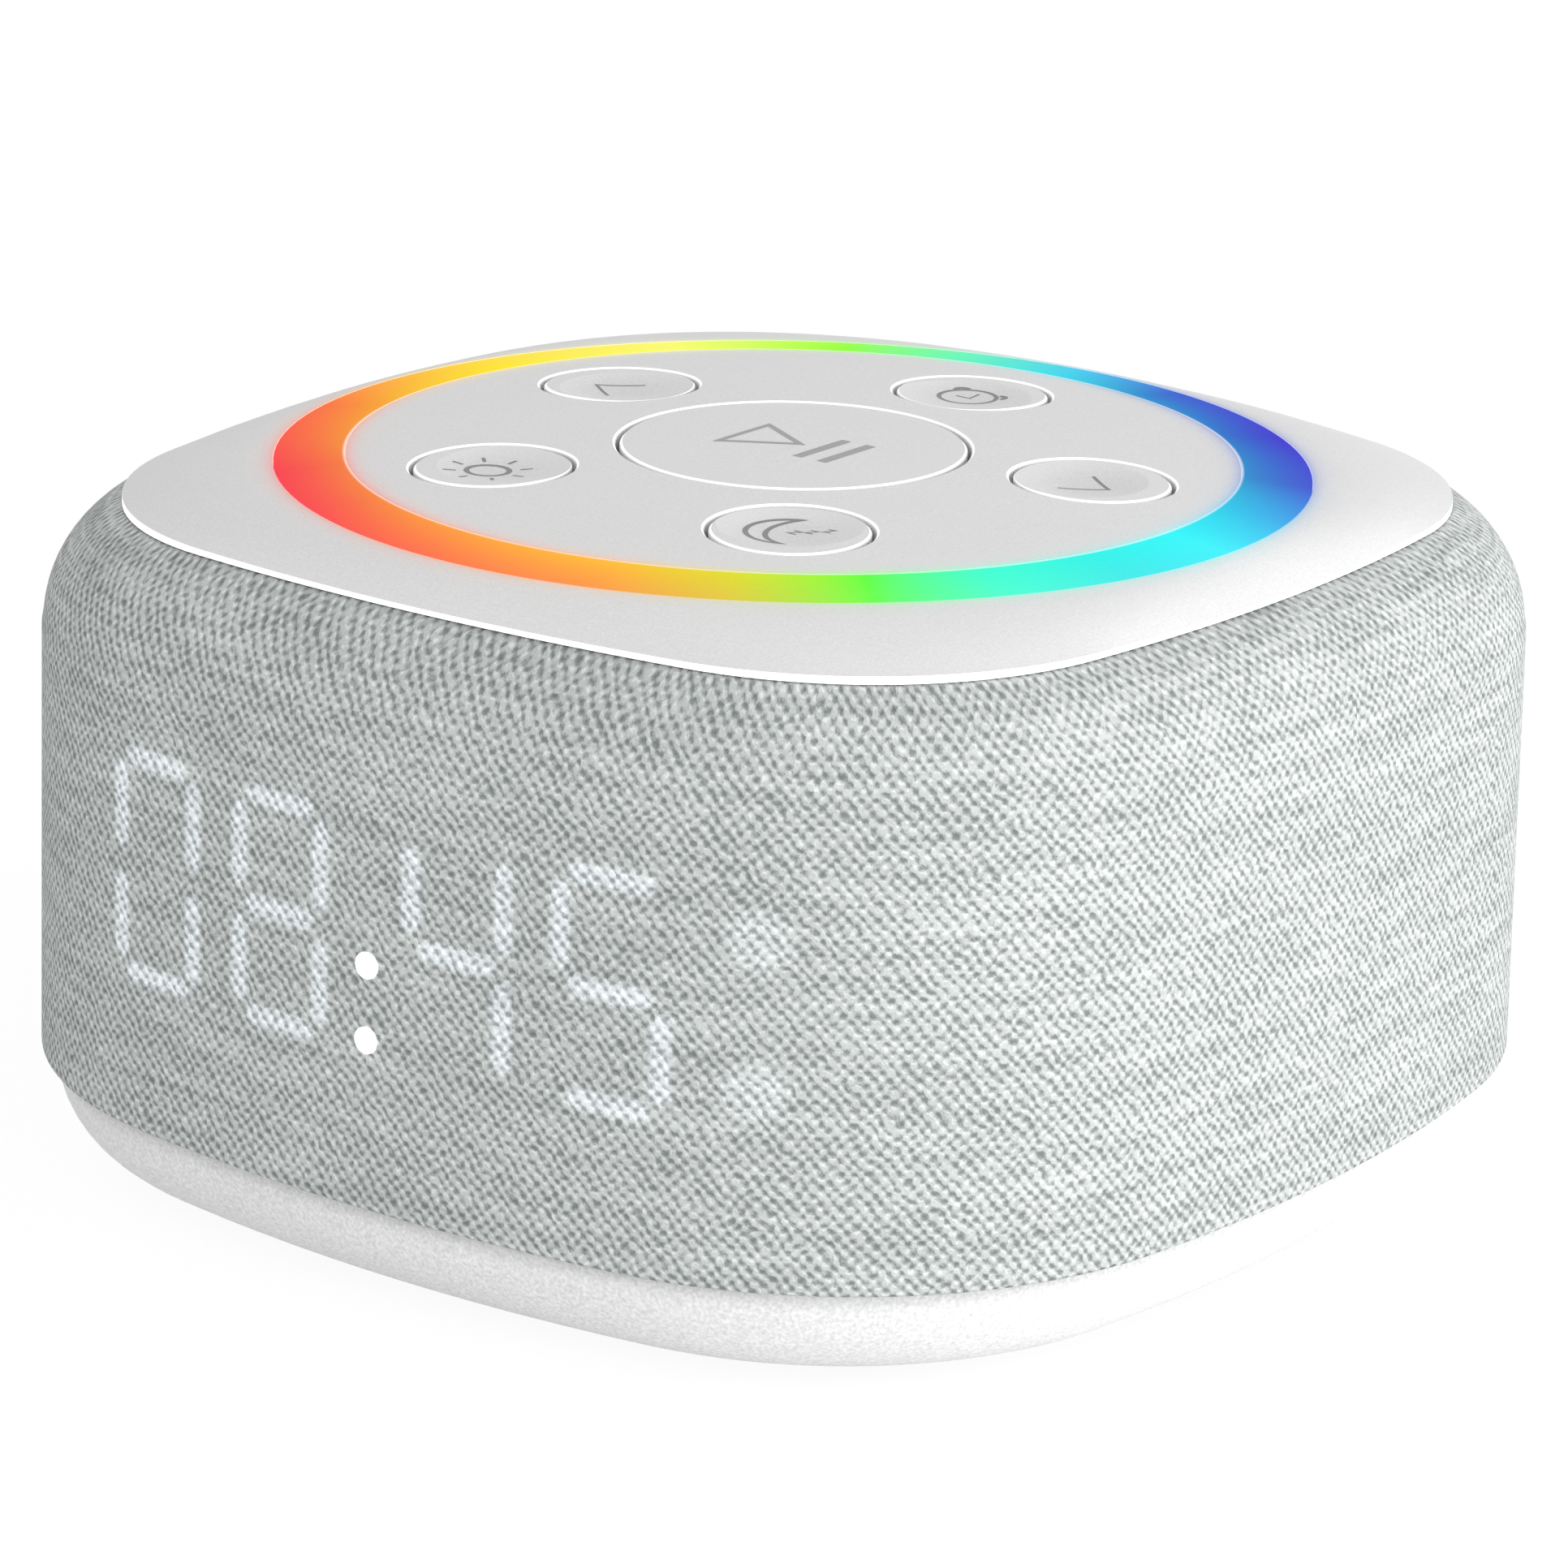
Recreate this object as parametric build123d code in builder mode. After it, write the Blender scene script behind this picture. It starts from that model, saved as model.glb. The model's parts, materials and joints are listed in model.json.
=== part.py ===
from build123d import *
from dataclasses import dataclass
from math import atan2, cos, degrees, radians, sin, sqrt
import os

# Bedside white noise machine with a clock display, in millimetres.
# +Z is up, the display faces -Y, and the origin is the middle of the footprint at table level.
# A knitted sleeve covers a perforated frame. Below it is a rolled base on four rubber feet, and
# above it a thin top plate, a light ring and a round control panel with six push buttons.
# Inside are the control board, the clock display, a loudspeaker that fires down on to a
# deflector, the main board with its power socket, and the wiring between them.

# ---------------------------------------------------------------- heights
total_height = 54.5          # crown of the control panel
foot_thickness = 2.0
foot_recess = 0.8            # how far a foot is let into the base
base_bottom = foot_thickness - foot_recess
sleeve_bottom = 9.0          # seam between the sleeve and the base
shoulder_drop = 3.32         # flat top of the rolled shoulder, below the crown
panel_drop = 0.88            # fall of the panel's dome from its crown to the light ring
ring_drop = 0.57             # further fall across the light ring
plate_edge_drop = 3.45       # top of the plate's thin edge, below the crown
plate_crown = 0.32           # how far the plate's slope bows up at its middle

# ---------------------------------------------------------------- outlines, seen from above
body_half_width = 50.0       # at the sleeve's lower edge
body_corner_radius = 32.0
body_side_radius = 136.4
wall_draft = 0.64            # degrees that the walls lean in
shoulder_radius = 9.65
plate_setback = 6.76         # plate edge, in from the sleeve's lower edge
plate_corner_radius = 24.16
plate_side_radius = 146.2
base_setback = 1.13          # base wall, in from the sleeve's lower edge
base_roll = 7.3              # radius of the base's rolled lower edge

# ---------------------------------------------------------------- walls and clearances
sleeve_thickness = 0.8
glue_gap = 0.1               # between the sleeve and the frame
frame_wall = 2.0
base_wall = 2.0
sleeve_tuck = 2.6            # how far the sleeve turns in under the frame
opening_margin = 1.84        # edge of the frame's top opening, in from the plate's edge
seat_gap = 0.05              # between pieces that lie on each other
lip_gap = 0.1                # between the base's locating lip and the frame
lip_wall = 1.5
lip_height = 3.0             # how far the lip stands up into the frame
screw_gap = 0.15             # between a screw and the hole that it passes through
thread_gap = 0.05            # between a screw and the hole that it bites in

# ---------------------------------------------------------------- light ring and control panel
ring_margin = 5.02           # plate outside the ring, at the middle of a side
ring_width = 5.22
ring_gap = 0.06
ring_flange = 0.9            # hidden flange on each side of the ring
ring_flange_thickness = 1.0
panel_chamfer = 0.2         # on the rims of the button holes
button_margin = 10.08        # middle of a small button, in from the ring
button_angles = {"next": 18, "alarm": 90, "previous": 162, "lamp": 234, "sleep": 306}
small_cap_radius = 5.78
cap_spacing = 4.30           # between the centre cap and each small one
button_gap = 0.3             # between a cap and its hole
cap_chamfer = 0.2
dish_depth = 0.4             # hollow in each small cap
dish_margin = 0.5            # edge of the hollow, in from the cap's side
cap_flange = 0.9
cap_flange_thickness = 0.85
cap_shell = 1.6              # thickness of the centre cap's top
button_travel = 0.5

# ---------------------------------------------------------------- control board and switches
board_thickness = 1.6
control_board_margin = 0.92  # edge of the board, in from the outer edge of the ring
switch_side = 6.0
switch_height = 3.5
switch_base = 1.0            # solid part of a switch under its bore
plunger_radius = 1.7
plunger_gap = 0.1
plunger_reach = 0.6          # how far a plunger stands out of its switch at rest
plunger_drop = 0.1           # what is left between plunger and snap dome at full press
dome_thickness = 0.12
led_depth, led_width, led_height = 2.8, 3.5, 1.9
led_margin = 2.3             # middle of an LED, in from the edge of the board
led_count = 20
led_gap = 0.1
channel_wall = 0.7
channel_floor = 0.6
panel_boss_radius = 2.4
panel_boss_offset = 2.08     # middle of a boss, out from the middles of the buttons
panel_boss_angles = (54, 126, 198, 270, 342)
panel_screw_length = 4.6

# ---------------------------------------------------------------- frame posts and base fixings
post_gap = 0.51              # between a post and the control board
post_radius = 3.2
post_drop = 5.18             # top of a post, below the shoulder's top
post_foot_gap = 0.05         # between a post and the base's boss below it
boss_top = 10.0
web_thickness = 1.6
web_length = 14.0
peg_radius = 1.5
peg_length = 11.5
slot_width = 2.2
slot_pitch = 5.4
slots_per_side = 11
slot_bottom = 14.0
slot_margin = 3.53           # between a slot and the start of the shoulder
base_screw_length = 13.0     # under the head
boss_radius = 4.2
head_seat = 5.0              # height of the shelf that a base screw's head bears on
foot_radius = 5.0
foot_gap = 0.1
foot_chamfer = 0.4
rim_depth = 2.0              # thickness of the base's rim, under the sleeve
rim_setback = 1.0            # start of the rim's flange, in from the base's wall

# ---------------------------------------------------------------- clock display
digit_width = 7.75           # between the middles of the strokes
digit_height = 16.1
digit_places = (-19.6, -7.1, 8.7, 20.95)
digit_drop = 0.99            # middle of the digits, below the middle of the sleeve
stroke = 1.3
segment_gap = 0.6            # between the ends of neighbouring bars
colon_place = 1.1
colon_drops = (2.05, 7.5)    # below the middle of the digits
colon_radius = 0.97
colon_proud = 0.1
indicator_place = 31.1
indicator_rises = (5.1, -5.5)   # above the middle of the digits
indicator_radius = 1.2
guide_gap = 0.05
housing_left, housing_right = -27.3, 33.8
housing_margin = 2.4         # above and below the digits
window_gap = 0.2
display_depth = 10.5         # back of the housing, in from the sleeve's lower edge
display_board_half_width = 31.0
display_board_margin = 4.6   # board beyond the housing, above and below
display_board_thickness = 1.2
display_led_side = 0.9
display_led_height = 0.8
display_post_radius = 2.3
display_post_x = 22.0
display_post_drop = 2.5      # post middle beyond the housing, above and below
display_screw_length = 4.0

# ---------------------------------------------------------------- loudspeaker, firing down
leg_angle = 30.22            # of each leg from the x axis, in degrees
leg_radius = 2.6
leg_margin = 3.02            # middle of a leg, in from the baffle's edge
baffle_underside = 16.0
baffle_thickness = 2.0
baffle_gap = 1.81            # between the baffle and a post
mouth_margin = 0.5           # edge of the baffle's mouth, out from the basket's throat
gasket_thickness = 0.8
basket_flange_gap = 0.28     # between the flange and a screw of the baffle
basket_flange_thickness = 1.2
basket_headroom = 1.33       # between the yoke and the control board
basket_wall = 1.0
basket_land_gap = 0.6        # between the surround's rim and the wall round it
basket_rear_radius = 16.0
basket_bore = 9.0
basket_window_width = 12.0
basket_window_count = 6
basket_window_margin = 2.0   # between a window and the flange below it
basket_window_room = 5.0     # of the basket's depth, left above and below a window
land_width = 1.4             # glued rims of the surround
terminal_width, terminal_reach = 8.0, 21.5
speaker_screw_margin = 2.2   # middle of a screw, in from the flange's edge
speaker_screw_gap = 0.1      # between a screw's head and the basket's wall
speaker_screw_length = 2.6
washer_thickness = 2.5
washer_radius = 16.0
washer_bore = 8.0
magnet_radius = 18.0
magnet_bore = 9.5
magnet_thickness = 5.0
yoke_thickness = 1.8
yoke_radius = 16.5
pole_radius = 7.2
coil_inner_radius = 7.5
coil_wall = 0.3
coil_length = 6.8
coil_overlap = 1.0           # how far the coil reaches below the cone's neck
cone_thickness = 0.4
cone_rim = 1.2
cone_headroom = 1.8          # between the spider and the basket's rear plate
roll_radius = 1.6
dust_cap_radius = 9.0
dust_cap_depth = 2.2
spider_land = 14.2           # inner radius of the ledge that carries the spider
spider_roll = 0.55
spider_roll_count = 4
deflector_radius = 17.0
deflector_height = 7.3
deflector_rim = 0.6
deflector_tip = 0.8
deflector_bow = 2.0

# ---------------------------------------------------------------- main board and socket
main_board_side_gap = 2.8    # between the board and a boss
main_board_depth = 22.5      # from front to rear
main_board_underside = 8.1
standoff_radius = 2.2
standoff_margin = 2.5        # standoff's middle, in from the board's edges
standoff_screw_length = 5.0
socket_width, socket_height, socket_length = 8.94, 3.26, 9.4
socket_wall = 0.3
socket_depth = 6.5
tongue_width, tongue_height, tongue_length = 6.7, 0.7, 5.0
socket_recess = 2.2          # mouth of the socket, in from the sleeve's lower edge
socket_overhang = 4.8        # of the socket, beyond the board
socket_gap = 0.2
cell_radius, cell_thickness = 10.0, 3.2
cell_screw_gap = 0.64        # between the cell's holder and the two nearest screws
cell_chamfer = 0.3
holder_wall = 0.9
holder_floor = 0.6
holder_gap = 0.05
holder_mouth = 9.0           # width of the gap that the cell is pushed out through
holder_mouth_start = 5.0     # of the gap, out from the cell's middle
plug_width, plug_depth, plug_height = 7.0, 4.0, 2.5
display_plug_x, display_plug_setback = -13.5, 18.0   # setbacks are from the board's rear edge
speaker_plug_gap, speaker_plug_setback = 0.85, 11.4  # gap to the cell's holder
control_plug_offset, control_plug_setback = 6.8, 4.0   # offset from the speaker's plug
control_plug_margin = 4.3    # matching plug's middle, in from the control board's edge
display_plug_height = 18.0   # underside of the matching plug behind the display board
ribbon_width, ribbon_thickness = 5.0, 1.0
ribbon_bend = 3.0
ribbon_gap = 0.05
lead_radius = 0.6
lead_spacing = 2.6
lead_end = 18.5              # y where the leads stop on the speaker's terminals
lead_bend = 3.0
processor_x, processor_setback, processor_side, processor_height = -17.5, 9.0, 6.0, 1.2
memory_offset, memory_setback, memory_side, memory_height = 1.55, 18.5, 5.0, 1.0
amplifier_offset, amplifier_setback, amplifier_side, amplifier_height = 3.05, 4.0, 4.0, 1.4
control_chip = (14.0, -12.0)
control_chip_side = 7.0
chip_height = 1.2
notch_width = 6.6            # notch in the baffle that the leads rise through
notch_reach = 1.0            # of the notch, forward from the middle of the leads
small_screw_head = 1.7       # radius

# ---------------------------------------------------------------- places worked out from the sizes
shoulder_top = total_height - shoulder_drop
plate_edge_top = total_height - plate_edge_drop
post_top = shoulder_top - post_drop
slot_height = shoulder_top - shoulder_radius - slot_margin - slot_bottom
opening_setback = plate_setback + opening_margin
sleeve_inset = sleeve_thickness + glue_gap
frame_inner_inset = sleeve_inset + frame_wall
frame_bottom = sleeve_bottom + sleeve_thickness + glue_gap
deck = shoulder_top + seat_gap                     # underside of the plate and the panel
ring_outer_radius = body_half_width - plate_setback - ring_margin
ring_inner_radius = ring_outer_radius - ring_width
button_circle_radius = ring_inner_radius - button_margin
centre_cap_radius = button_circle_radius - small_cap_radius - cap_spacing
panel_boss_circle = button_circle_radius + panel_boss_offset
control_board_radius = ring_outer_radius - control_board_margin
led_circle_radius = control_board_radius - led_margin
post_circle = control_board_radius + post_gap + post_radius
post_place = post_circle / sqrt(2)                 # x and y of each post
ring_top_inner = total_height - panel_drop
ring_top_outer = ring_top_inner - ring_drop
flange_top = deck - seat_gap                       # top of the ring's and the caps' flanges
ring_underside = flange_top - ring_flange_thickness
cap_underside = flange_top - cap_flange_thickness
switch_top = cap_underside - plunger_reach
control_board_top = switch_top - switch_height
control_board_underside = control_board_top - board_thickness
bore_floor = control_board_top + switch_base
plunger_bottom = bore_floor + dome_thickness + button_travel + plunger_drop
dome_radius = (ring_inner_radius**2 + panel_drop**2) / (2 * panel_drop)
dome_centre = total_height - dome_radius
channel_inner_radius = 2 * led_circle_radius - control_board_radius

base_top = sleeve_bottom - seat_gap
floor_top = base_bottom + base_wall
post_bottom = boss_top + post_foot_gap
lip_top = frame_bottom + lip_height
main_board_top = main_board_underside + board_thickness
plug_top = main_board_top + plug_height
baffle_top = baffle_underside + baffle_thickness
basket_bottom = baffle_top + gasket_thickness
basket_flange_top = basket_bottom + basket_flange_thickness
magnet_top = control_board_underside - basket_headroom - yoke_thickness
washer_top = magnet_top - magnet_thickness
rear_plate_top = washer_top - washer_thickness
rear_plate_bottom = rear_plate_top - basket_wall
basket_depth = rear_plate_bottom - basket_flange_top
baffle_radius = post_circle - post_radius - baffle_gap
leg_circle = baffle_radius - leg_margin
basket_flange_radius = leg_circle - small_screw_head - basket_flange_gap
speaker_screw_circle = basket_flange_radius - speaker_screw_margin
basket_front_radius = speaker_screw_circle - small_screw_head - speaker_screw_gap
basket_throat_radius = basket_front_radius - basket_wall - basket_land_gap - land_width
mouth_radius = basket_throat_radius + mouth_margin
surround_top = basket_flange_top + cone_thickness
roll_place = basket_throat_radius - glue_gap - roll_radius
cone_outer_radius = roll_place - roll_radius
cone_rim_top = surround_top + cone_thickness
spider_top = rear_plate_bottom - cone_headroom
spider_bottom = spider_top - cone_thickness
cone_neck = spider_bottom - cone_thickness
coil_outer_radius = coil_inner_radius + coil_wall

socket_mouth = body_half_width - socket_recess
main_board_half_width = post_place - boss_radius - main_board_side_gap
main_board_rear = socket_mouth - socket_overhang
main_board_front = main_board_rear - main_board_depth
holder_radius = cell_radius + holder_gap + holder_wall
screw_half_spread = main_board_depth / 2 - standoff_margin
screw_distance = holder_radius + small_screw_head + cell_screw_gap
cell_x = main_board_half_width - standoff_margin - sqrt(screw_distance**2 - screw_half_spread**2)
cell_y = main_board_rear - main_board_depth / 2
holder_side = cell_x - holder_radius
speaker_plug_x = holder_side - speaker_plug_gap - plug_width / 2
display_plug = (display_plug_x, main_board_rear - display_plug_setback)
speaker_plug = (speaker_plug_x, main_board_rear - speaker_plug_setback)
control_plug = (speaker_plug_x - control_plug_offset, main_board_rear - control_plug_setback)
main_chips = (
    (processor_x, processor_setback, processor_side, processor_height),
    (holder_side - memory_offset, memory_setback, memory_side, memory_height),
    (holder_side - amplifier_offset, amplifier_setback, amplifier_side, amplifier_height),
)
control_plug_inset = control_board_radius - control_plug_margin

display_plane = body_half_width - display_depth    # measured towards the front
digit_middle = (sleeve_bottom + shoulder_top) / 2 - digit_drop
colon_heights = [digit_middle - drop for drop in colon_drops]
indicator_heights = [digit_middle + rise for rise in indicator_rises]
housing_bottom = digit_middle - digit_height / 2 - housing_margin
housing_top = digit_middle + digit_height / 2 + housing_margin
display_board_face = display_plane - seat_gap
guide_back = display_plane + display_led_height
display_board_back = display_board_face - display_board_thickness

corners = [(x, y) for x in (-1, 1) for y in (-1, 1)]
post_spots = [(x * post_place, y * post_place) for x, y in corners]
leg_spots = [
    (x * leg_circle * cos(radians(leg_angle)), y * leg_circle * sin(radians(leg_angle)))
    for x, y in corners
]
standoff_spots = [
    (x, y)
    for x in (standoff_margin - main_board_half_width, main_board_half_width - standoff_margin)
    for y in (main_board_front + standoff_margin, main_board_rear - standoff_margin)
]
display_post_spots = [
    (x, z)
    for x in (-display_post_x, display_post_x)
    for z in (housing_bottom - display_post_drop, housing_top + display_post_drop)
]
speaker_screw_spots = [
    (x * speaker_screw_circle / sqrt(2), y * speaker_screw_circle / sqrt(2)) for x, y in corners
]
lead_places = [speaker_plug[0] + side * lead_spacing / 2 for side in (-1, 1)]


@dataclass(frozen=True)
class Outline:
    """Four bowed sides joined by round corners, all arcs tangent, centred on the origin."""

    half_width: float
    corner_radius: float
    side_radius: float

    @property
    def side_place(self):
        """Where a side's centre lies, on the far side of the origin."""
        return self.half_width - self.side_radius

    @property
    def corner_place(self):
        """The x and y of a corner's centre, where its arc is tangent to both sides."""
        reach = self.side_radius - self.corner_radius
        return (self.side_place + sqrt(2 * reach**2 - self.side_place**2)) / 2

    @property
    def turn(self):
        """Half of the angle that a side's arc turns through."""
        return degrees(atan2(self.corner_place, self.corner_place - self.side_place))

    def draw(self, inset=0.0, mode=Mode.ADD, share=1.0, circle_radius=0.0):
        """Draws the outline, moved in by inset, as a face of the open sketch.

        A share under 1 draws the shape that lies that far from a circle towards the outline.
        """
        side = circle_radius + (self.side_radius - circle_radius) * share - inset
        corner = circle_radius + (self.corner_radius - circle_radius) * share - inset
        corner_place = self.corner_place * share
        with BuildLine() as arcs:
            for angle in range(0, 360, 90):
                side_centre = Vector(self.side_place * share, 0).rotate(Axis.Z, angle)
                corner_centre = Vector(corner_place, corner_place).rotate(Axis.Z, angle)
                CenterArc(side_centre, side, angle - self.turn, 2 * self.turn)
                CenterArc(corner_centre, corner, angle + self.turn, 90 - 2 * self.turn)
        make_face(arcs.edges(), mode=mode)


@dataclass(frozen=True)
class Screw:
    """Sizes of one kind of screw."""

    radius: float
    head_radius: float
    head_height: float
    slot_share: float = 1.2      # length of the cross slot, as a share of the head's radius
    slot_width: float = 0.5

    @property
    def pilot(self):
        """Radius of a hole that the screw bites in."""
        return self.radius + thread_gap

    @property
    def clearance(self):
        """Radius of a hole that the screw passes through."""
        return self.radius + screw_gap

    def at(self, seat, spots, length, way=1):
        """Screws at the given spots of a plane that their heads bear on, as one group.

        The shanks run along the plane's normal, or against it if way is -1.
        """
        slot_length = self.head_radius * self.slot_share
        with BuildPart() as group:
            with BuildSketch(seat):
                with Locations(*spots):
                    Circle(self.head_radius)
            extrude(amount=-way * self.head_height)
            with BuildSketch(seat):
                with Locations(*spots):
                    Circle(self.radius)
            extrude(amount=way * length)
            with BuildSketch(seat.offset(-way * self.head_height)):
                with Locations(*spots):
                    Rectangle(slot_length, self.slot_width)
                    Rectangle(self.slot_width, slot_length)
            extrude(amount=way * self.head_height / 2, mode=Mode.SUBTRACT)
        return group.part


body_outline = Outline(body_half_width, body_corner_radius, body_side_radius)
plate_outline = Outline(body_half_width - plate_setback, plate_corner_radius, plate_side_radius)
small_screw = Screw(radius=0.8, head_radius=small_screw_head, head_height=1.1)
base_screw = Screw(radius=1.3, head_radius=2.4, head_height=1.8)
parts = {}


def keep(part, name):
    """Labels a finished piece and lists it for export."""
    part.label = name
    parts[name] = part


def level(height):
    """The horizontal plane at a height above the table."""
    return Plane.XY.offset(height)


def facing_front(distance):
    """The plane that faces the front, at a distance from the middle. Its y is the height."""
    return Plane.XZ.offset(distance)


def body_block(inset):
    """The body's outer form moved in by inset: leaning walls and a rolled shoulder."""
    with BuildPart() as block:
        with BuildSketch(level(sleeve_bottom)):
            body_outline.draw(inset)
        extrude(amount=shoulder_top - inset - sleeve_bottom, taper=wall_draft)
        fillet(block.faces().sort_by(Axis.Z)[-1].edges(), shoulder_radius - inset)
    return block.part


def base_block(wall):
    """The base's outer form moved in by wall, with a rolled lower edge."""
    with BuildPart() as block:
        with BuildSketch(level(base_bottom + wall)):
            body_outline.draw(base_setback + wall)
        extrude(amount=base_top - base_bottom - wall)
        fillet(block.faces().sort_by(Axis.Z)[0].edges(), base_roll - wall)
    return block.part


def disc(height, thickness, radius, spots=((0, 0),), mode=Mode.ADD):
    """Adds to the open part, or cuts from it, an upright disc at each spot, from a height up."""
    with BuildSketch(level(height)) as outline:
        with Locations(*spots):
            Circle(radius)
    extrude(outline.sketch, amount=thickness, mode=mode)


def ring(height, thickness, outer, inner, spots=((0, 0),)):
    """Adds to the open part an upright ring at each spot, from a height up."""
    with BuildSketch(level(height)) as outline:
        with Locations(*spots):
            Circle(outer)
            Circle(inner, mode=Mode.SUBTRACT)
    extrude(outline.sketch, amount=thickness)


def slab(height, thickness, x_range, y_range, mode=Mode.ADD):
    """Adds to the open part, or cuts from it, a box from a height up."""
    with BuildSketch(level(height)) as outline:
        with Locations((sum(x_range) / 2, sum(y_range) / 2)):
            Rectangle(x_range[1] - x_range[0], y_range[1] - y_range[0])
    extrude(outline.sketch, amount=thickness, mode=mode)


def turned(*points):
    """Adds to the open part the solid that a closed outline of radii and heights turns into."""
    with BuildSketch(Plane.XZ) as profile:
        with BuildLine():
            Polyline(*points, close=True)
        make_face()
    revolve(profile.sketch, axis=Axis.Z)


def button_spot(name):
    """The middle of a small button, as x and y."""
    angle = radians(button_angles[name])
    return button_circle_radius * cos(angle), button_circle_radius * sin(angle)


def trim_to_dome():
    """Cuts the open part down to the control panel's domed top."""
    with Locations((0, 0, dome_centre)):
        Sphere(dome_radius, mode=Mode.INTERSECT)


button_spots = {"centre": (0, 0)} | {name: button_spot(name) for name in button_angles}
small_spots = [button_spots[name] for name in button_angles]


# ================================================================ outer skin and shells
# Knitted sleeve: walls and shoulder, turned in under the frame, with two holes for the colon.
with BuildPart() as fabric_sleeve:
    add(body_block(0))
    add(body_block(sleeve_thickness), mode=Mode.SUBTRACT)
    with BuildSketch(level(sleeve_bottom)):
        body_outline.draw()
        body_outline.draw(sleeve_tuck, mode=Mode.SUBTRACT)
    extrude(amount=sleeve_thickness)
    with BuildSketch(level(post_top)):
        body_outline.draw(opening_setback)
    extrude(amount=total_height - post_top, mode=Mode.SUBTRACT)
    with BuildSketch(facing_front(0)):
        with Locations(*[(colon_place, height) for height in colon_heights]):
            Circle(colon_radius + guide_gap)
    extrude(amount=body_half_width, mode=Mode.SUBTRACT)
keep(fabric_sleeve.part, "fabric_sleeve")

# Corner posts of the frame with the webs that tie them to its walls.
with BuildPart() as ribs:
    disc(post_bottom, post_top - post_bottom, post_radius, post_spots)
    with BuildSketch(level(lip_top + lip_gap)):
        for spot, angle in zip(post_spots, (225, 135, 315, 45)):
            with Locations(Location(spot, angle)):
                Rectangle(web_length, web_thickness, align=(Align.MIN, Align.CENTER))
    extrude(amount=post_top - lip_top - lip_gap)
    with BuildSketch(facing_front(display_plane)):
        with Locations(*display_post_spots):
            Circle(display_post_radius)
    extrude(amount=body_half_width - display_plane)
    add(body_block(frame_inner_inset - frame_wall / 2), mode=Mode.INTERSECT)

# Frame under the sleeve: a shell with sound slots in three sides and a window for the display.
with BuildPart() as grille_frame:
    add(body_block(sleeve_inset))
    add(body_block(frame_inner_inset), mode=Mode.SUBTRACT)
    with BuildSketch(level(sleeve_bottom)):
        body_outline.draw()
    extrude(amount=frame_bottom - sleeve_bottom, mode=Mode.SUBTRACT)
    with BuildSketch(level(post_top)):
        body_outline.draw(opening_setback)
    extrude(amount=total_height - post_top, mode=Mode.SUBTRACT)
    with BuildSketch(Plane.YZ):
        with Locations((0, slot_bottom + slot_height / 2)):
            with GridLocations(slot_pitch, 0, slots_per_side, 1):
                SlotOverall(slot_height, slot_width, rotation=90)
    extrude(amount=body_half_width, both=True, mode=Mode.SUBTRACT)
    with BuildSketch(facing_front(0)):
        with Locations((0, slot_bottom + slot_height / 2)):
            with GridLocations(slot_pitch, 0, slots_per_side, 1):
                SlotOverall(slot_height, slot_width, rotation=90)
    extrude(amount=-body_half_width, mode=Mode.SUBTRACT)
    with BuildSketch(facing_front(display_plane)):
        with Locations(((housing_left + housing_right) / 2, digit_middle)):
            Rectangle(
                housing_right - housing_left + 2 * window_gap,
                housing_top - housing_bottom + 2 * window_gap,
            )
    extrude(amount=body_half_width - display_plane, mode=Mode.SUBTRACT)
    add(ribs.part)
    disc(post_bottom, base_screw_length, base_screw.pilot, post_spots, mode=Mode.SUBTRACT)
    disc(deck - peg_length - seat_gap, peg_length, peg_radius + thread_gap, post_spots, mode=Mode.SUBTRACT)
    with BuildSketch(facing_front(display_plane)):
        with Locations(*display_post_spots):
            Circle(small_screw.pilot)
    extrude(amount=display_screw_length, mode=Mode.SUBTRACT)
keep(grille_frame.part, "grille_frame")

# Base: a tray with a rolled lower edge, a lip inside the frame, bosses, speaker legs, standoffs.
with BuildPart() as base_shell:
    add(base_block(0))
    add(base_block(base_wall), mode=Mode.SUBTRACT)
    with BuildSketch(level(base_top - rim_depth)):
        body_outline.draw(base_setback + rim_setback)
        body_outline.draw(frame_inner_inset + lip_gap + lip_wall, mode=Mode.SUBTRACT)
    extrude(amount=rim_depth)
    with BuildSketch(level(base_top)):
        body_outline.draw(frame_inner_inset + lip_gap)
        body_outline.draw(frame_inner_inset + lip_gap + lip_wall, mode=Mode.SUBTRACT)
    extrude(amount=lip_top - base_top)
    disc(floor_top, boss_top - floor_top, boss_radius, post_spots)
    disc(floor_top, baffle_underside - floor_top, leg_radius, leg_spots)
    disc(floor_top, main_board_underside - floor_top, standoff_radius, standoff_spots)
    disc(base_bottom, foot_recess, foot_radius + foot_gap, post_spots, mode=Mode.SUBTRACT)
    disc(foot_thickness, head_seat - foot_thickness, base_screw.head_radius + screw_gap, post_spots,
         mode=Mode.SUBTRACT)
    disc(head_seat, boss_top - head_seat, base_screw.clearance, post_spots, mode=Mode.SUBTRACT)
    disc(floor_top, baffle_underside - floor_top, small_screw.pilot, leg_spots, mode=Mode.SUBTRACT)
    disc(floor_top, main_board_underside - floor_top, small_screw.pilot, standoff_spots,
         mode=Mode.SUBTRACT)
    with BuildSketch(facing_front(-body_half_width)):
        with Locations((0, main_board_underside - socket_height / 2)):
            SlotOverall(socket_width + 2 * socket_gap, socket_height + 2 * socket_gap)
    extrude(amount=body_half_width - socket_mouth + socket_length, mode=Mode.SUBTRACT)
keep(base_shell.part, "base_shell")

# Rubber feet: each fills its recess and hides a base screw.
with BuildPart() as rubber_feet:
    disc(0, foot_thickness, foot_radius, post_spots)
    chamfer(rubber_feet.faces().group_by(Axis.Z)[0].edges(), foot_chamfer)
keep(rubber_feet.part, "rubber_feet")

keep(base_screw.at(level(head_seat), post_spots, base_screw_length), "base_screws")

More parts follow.
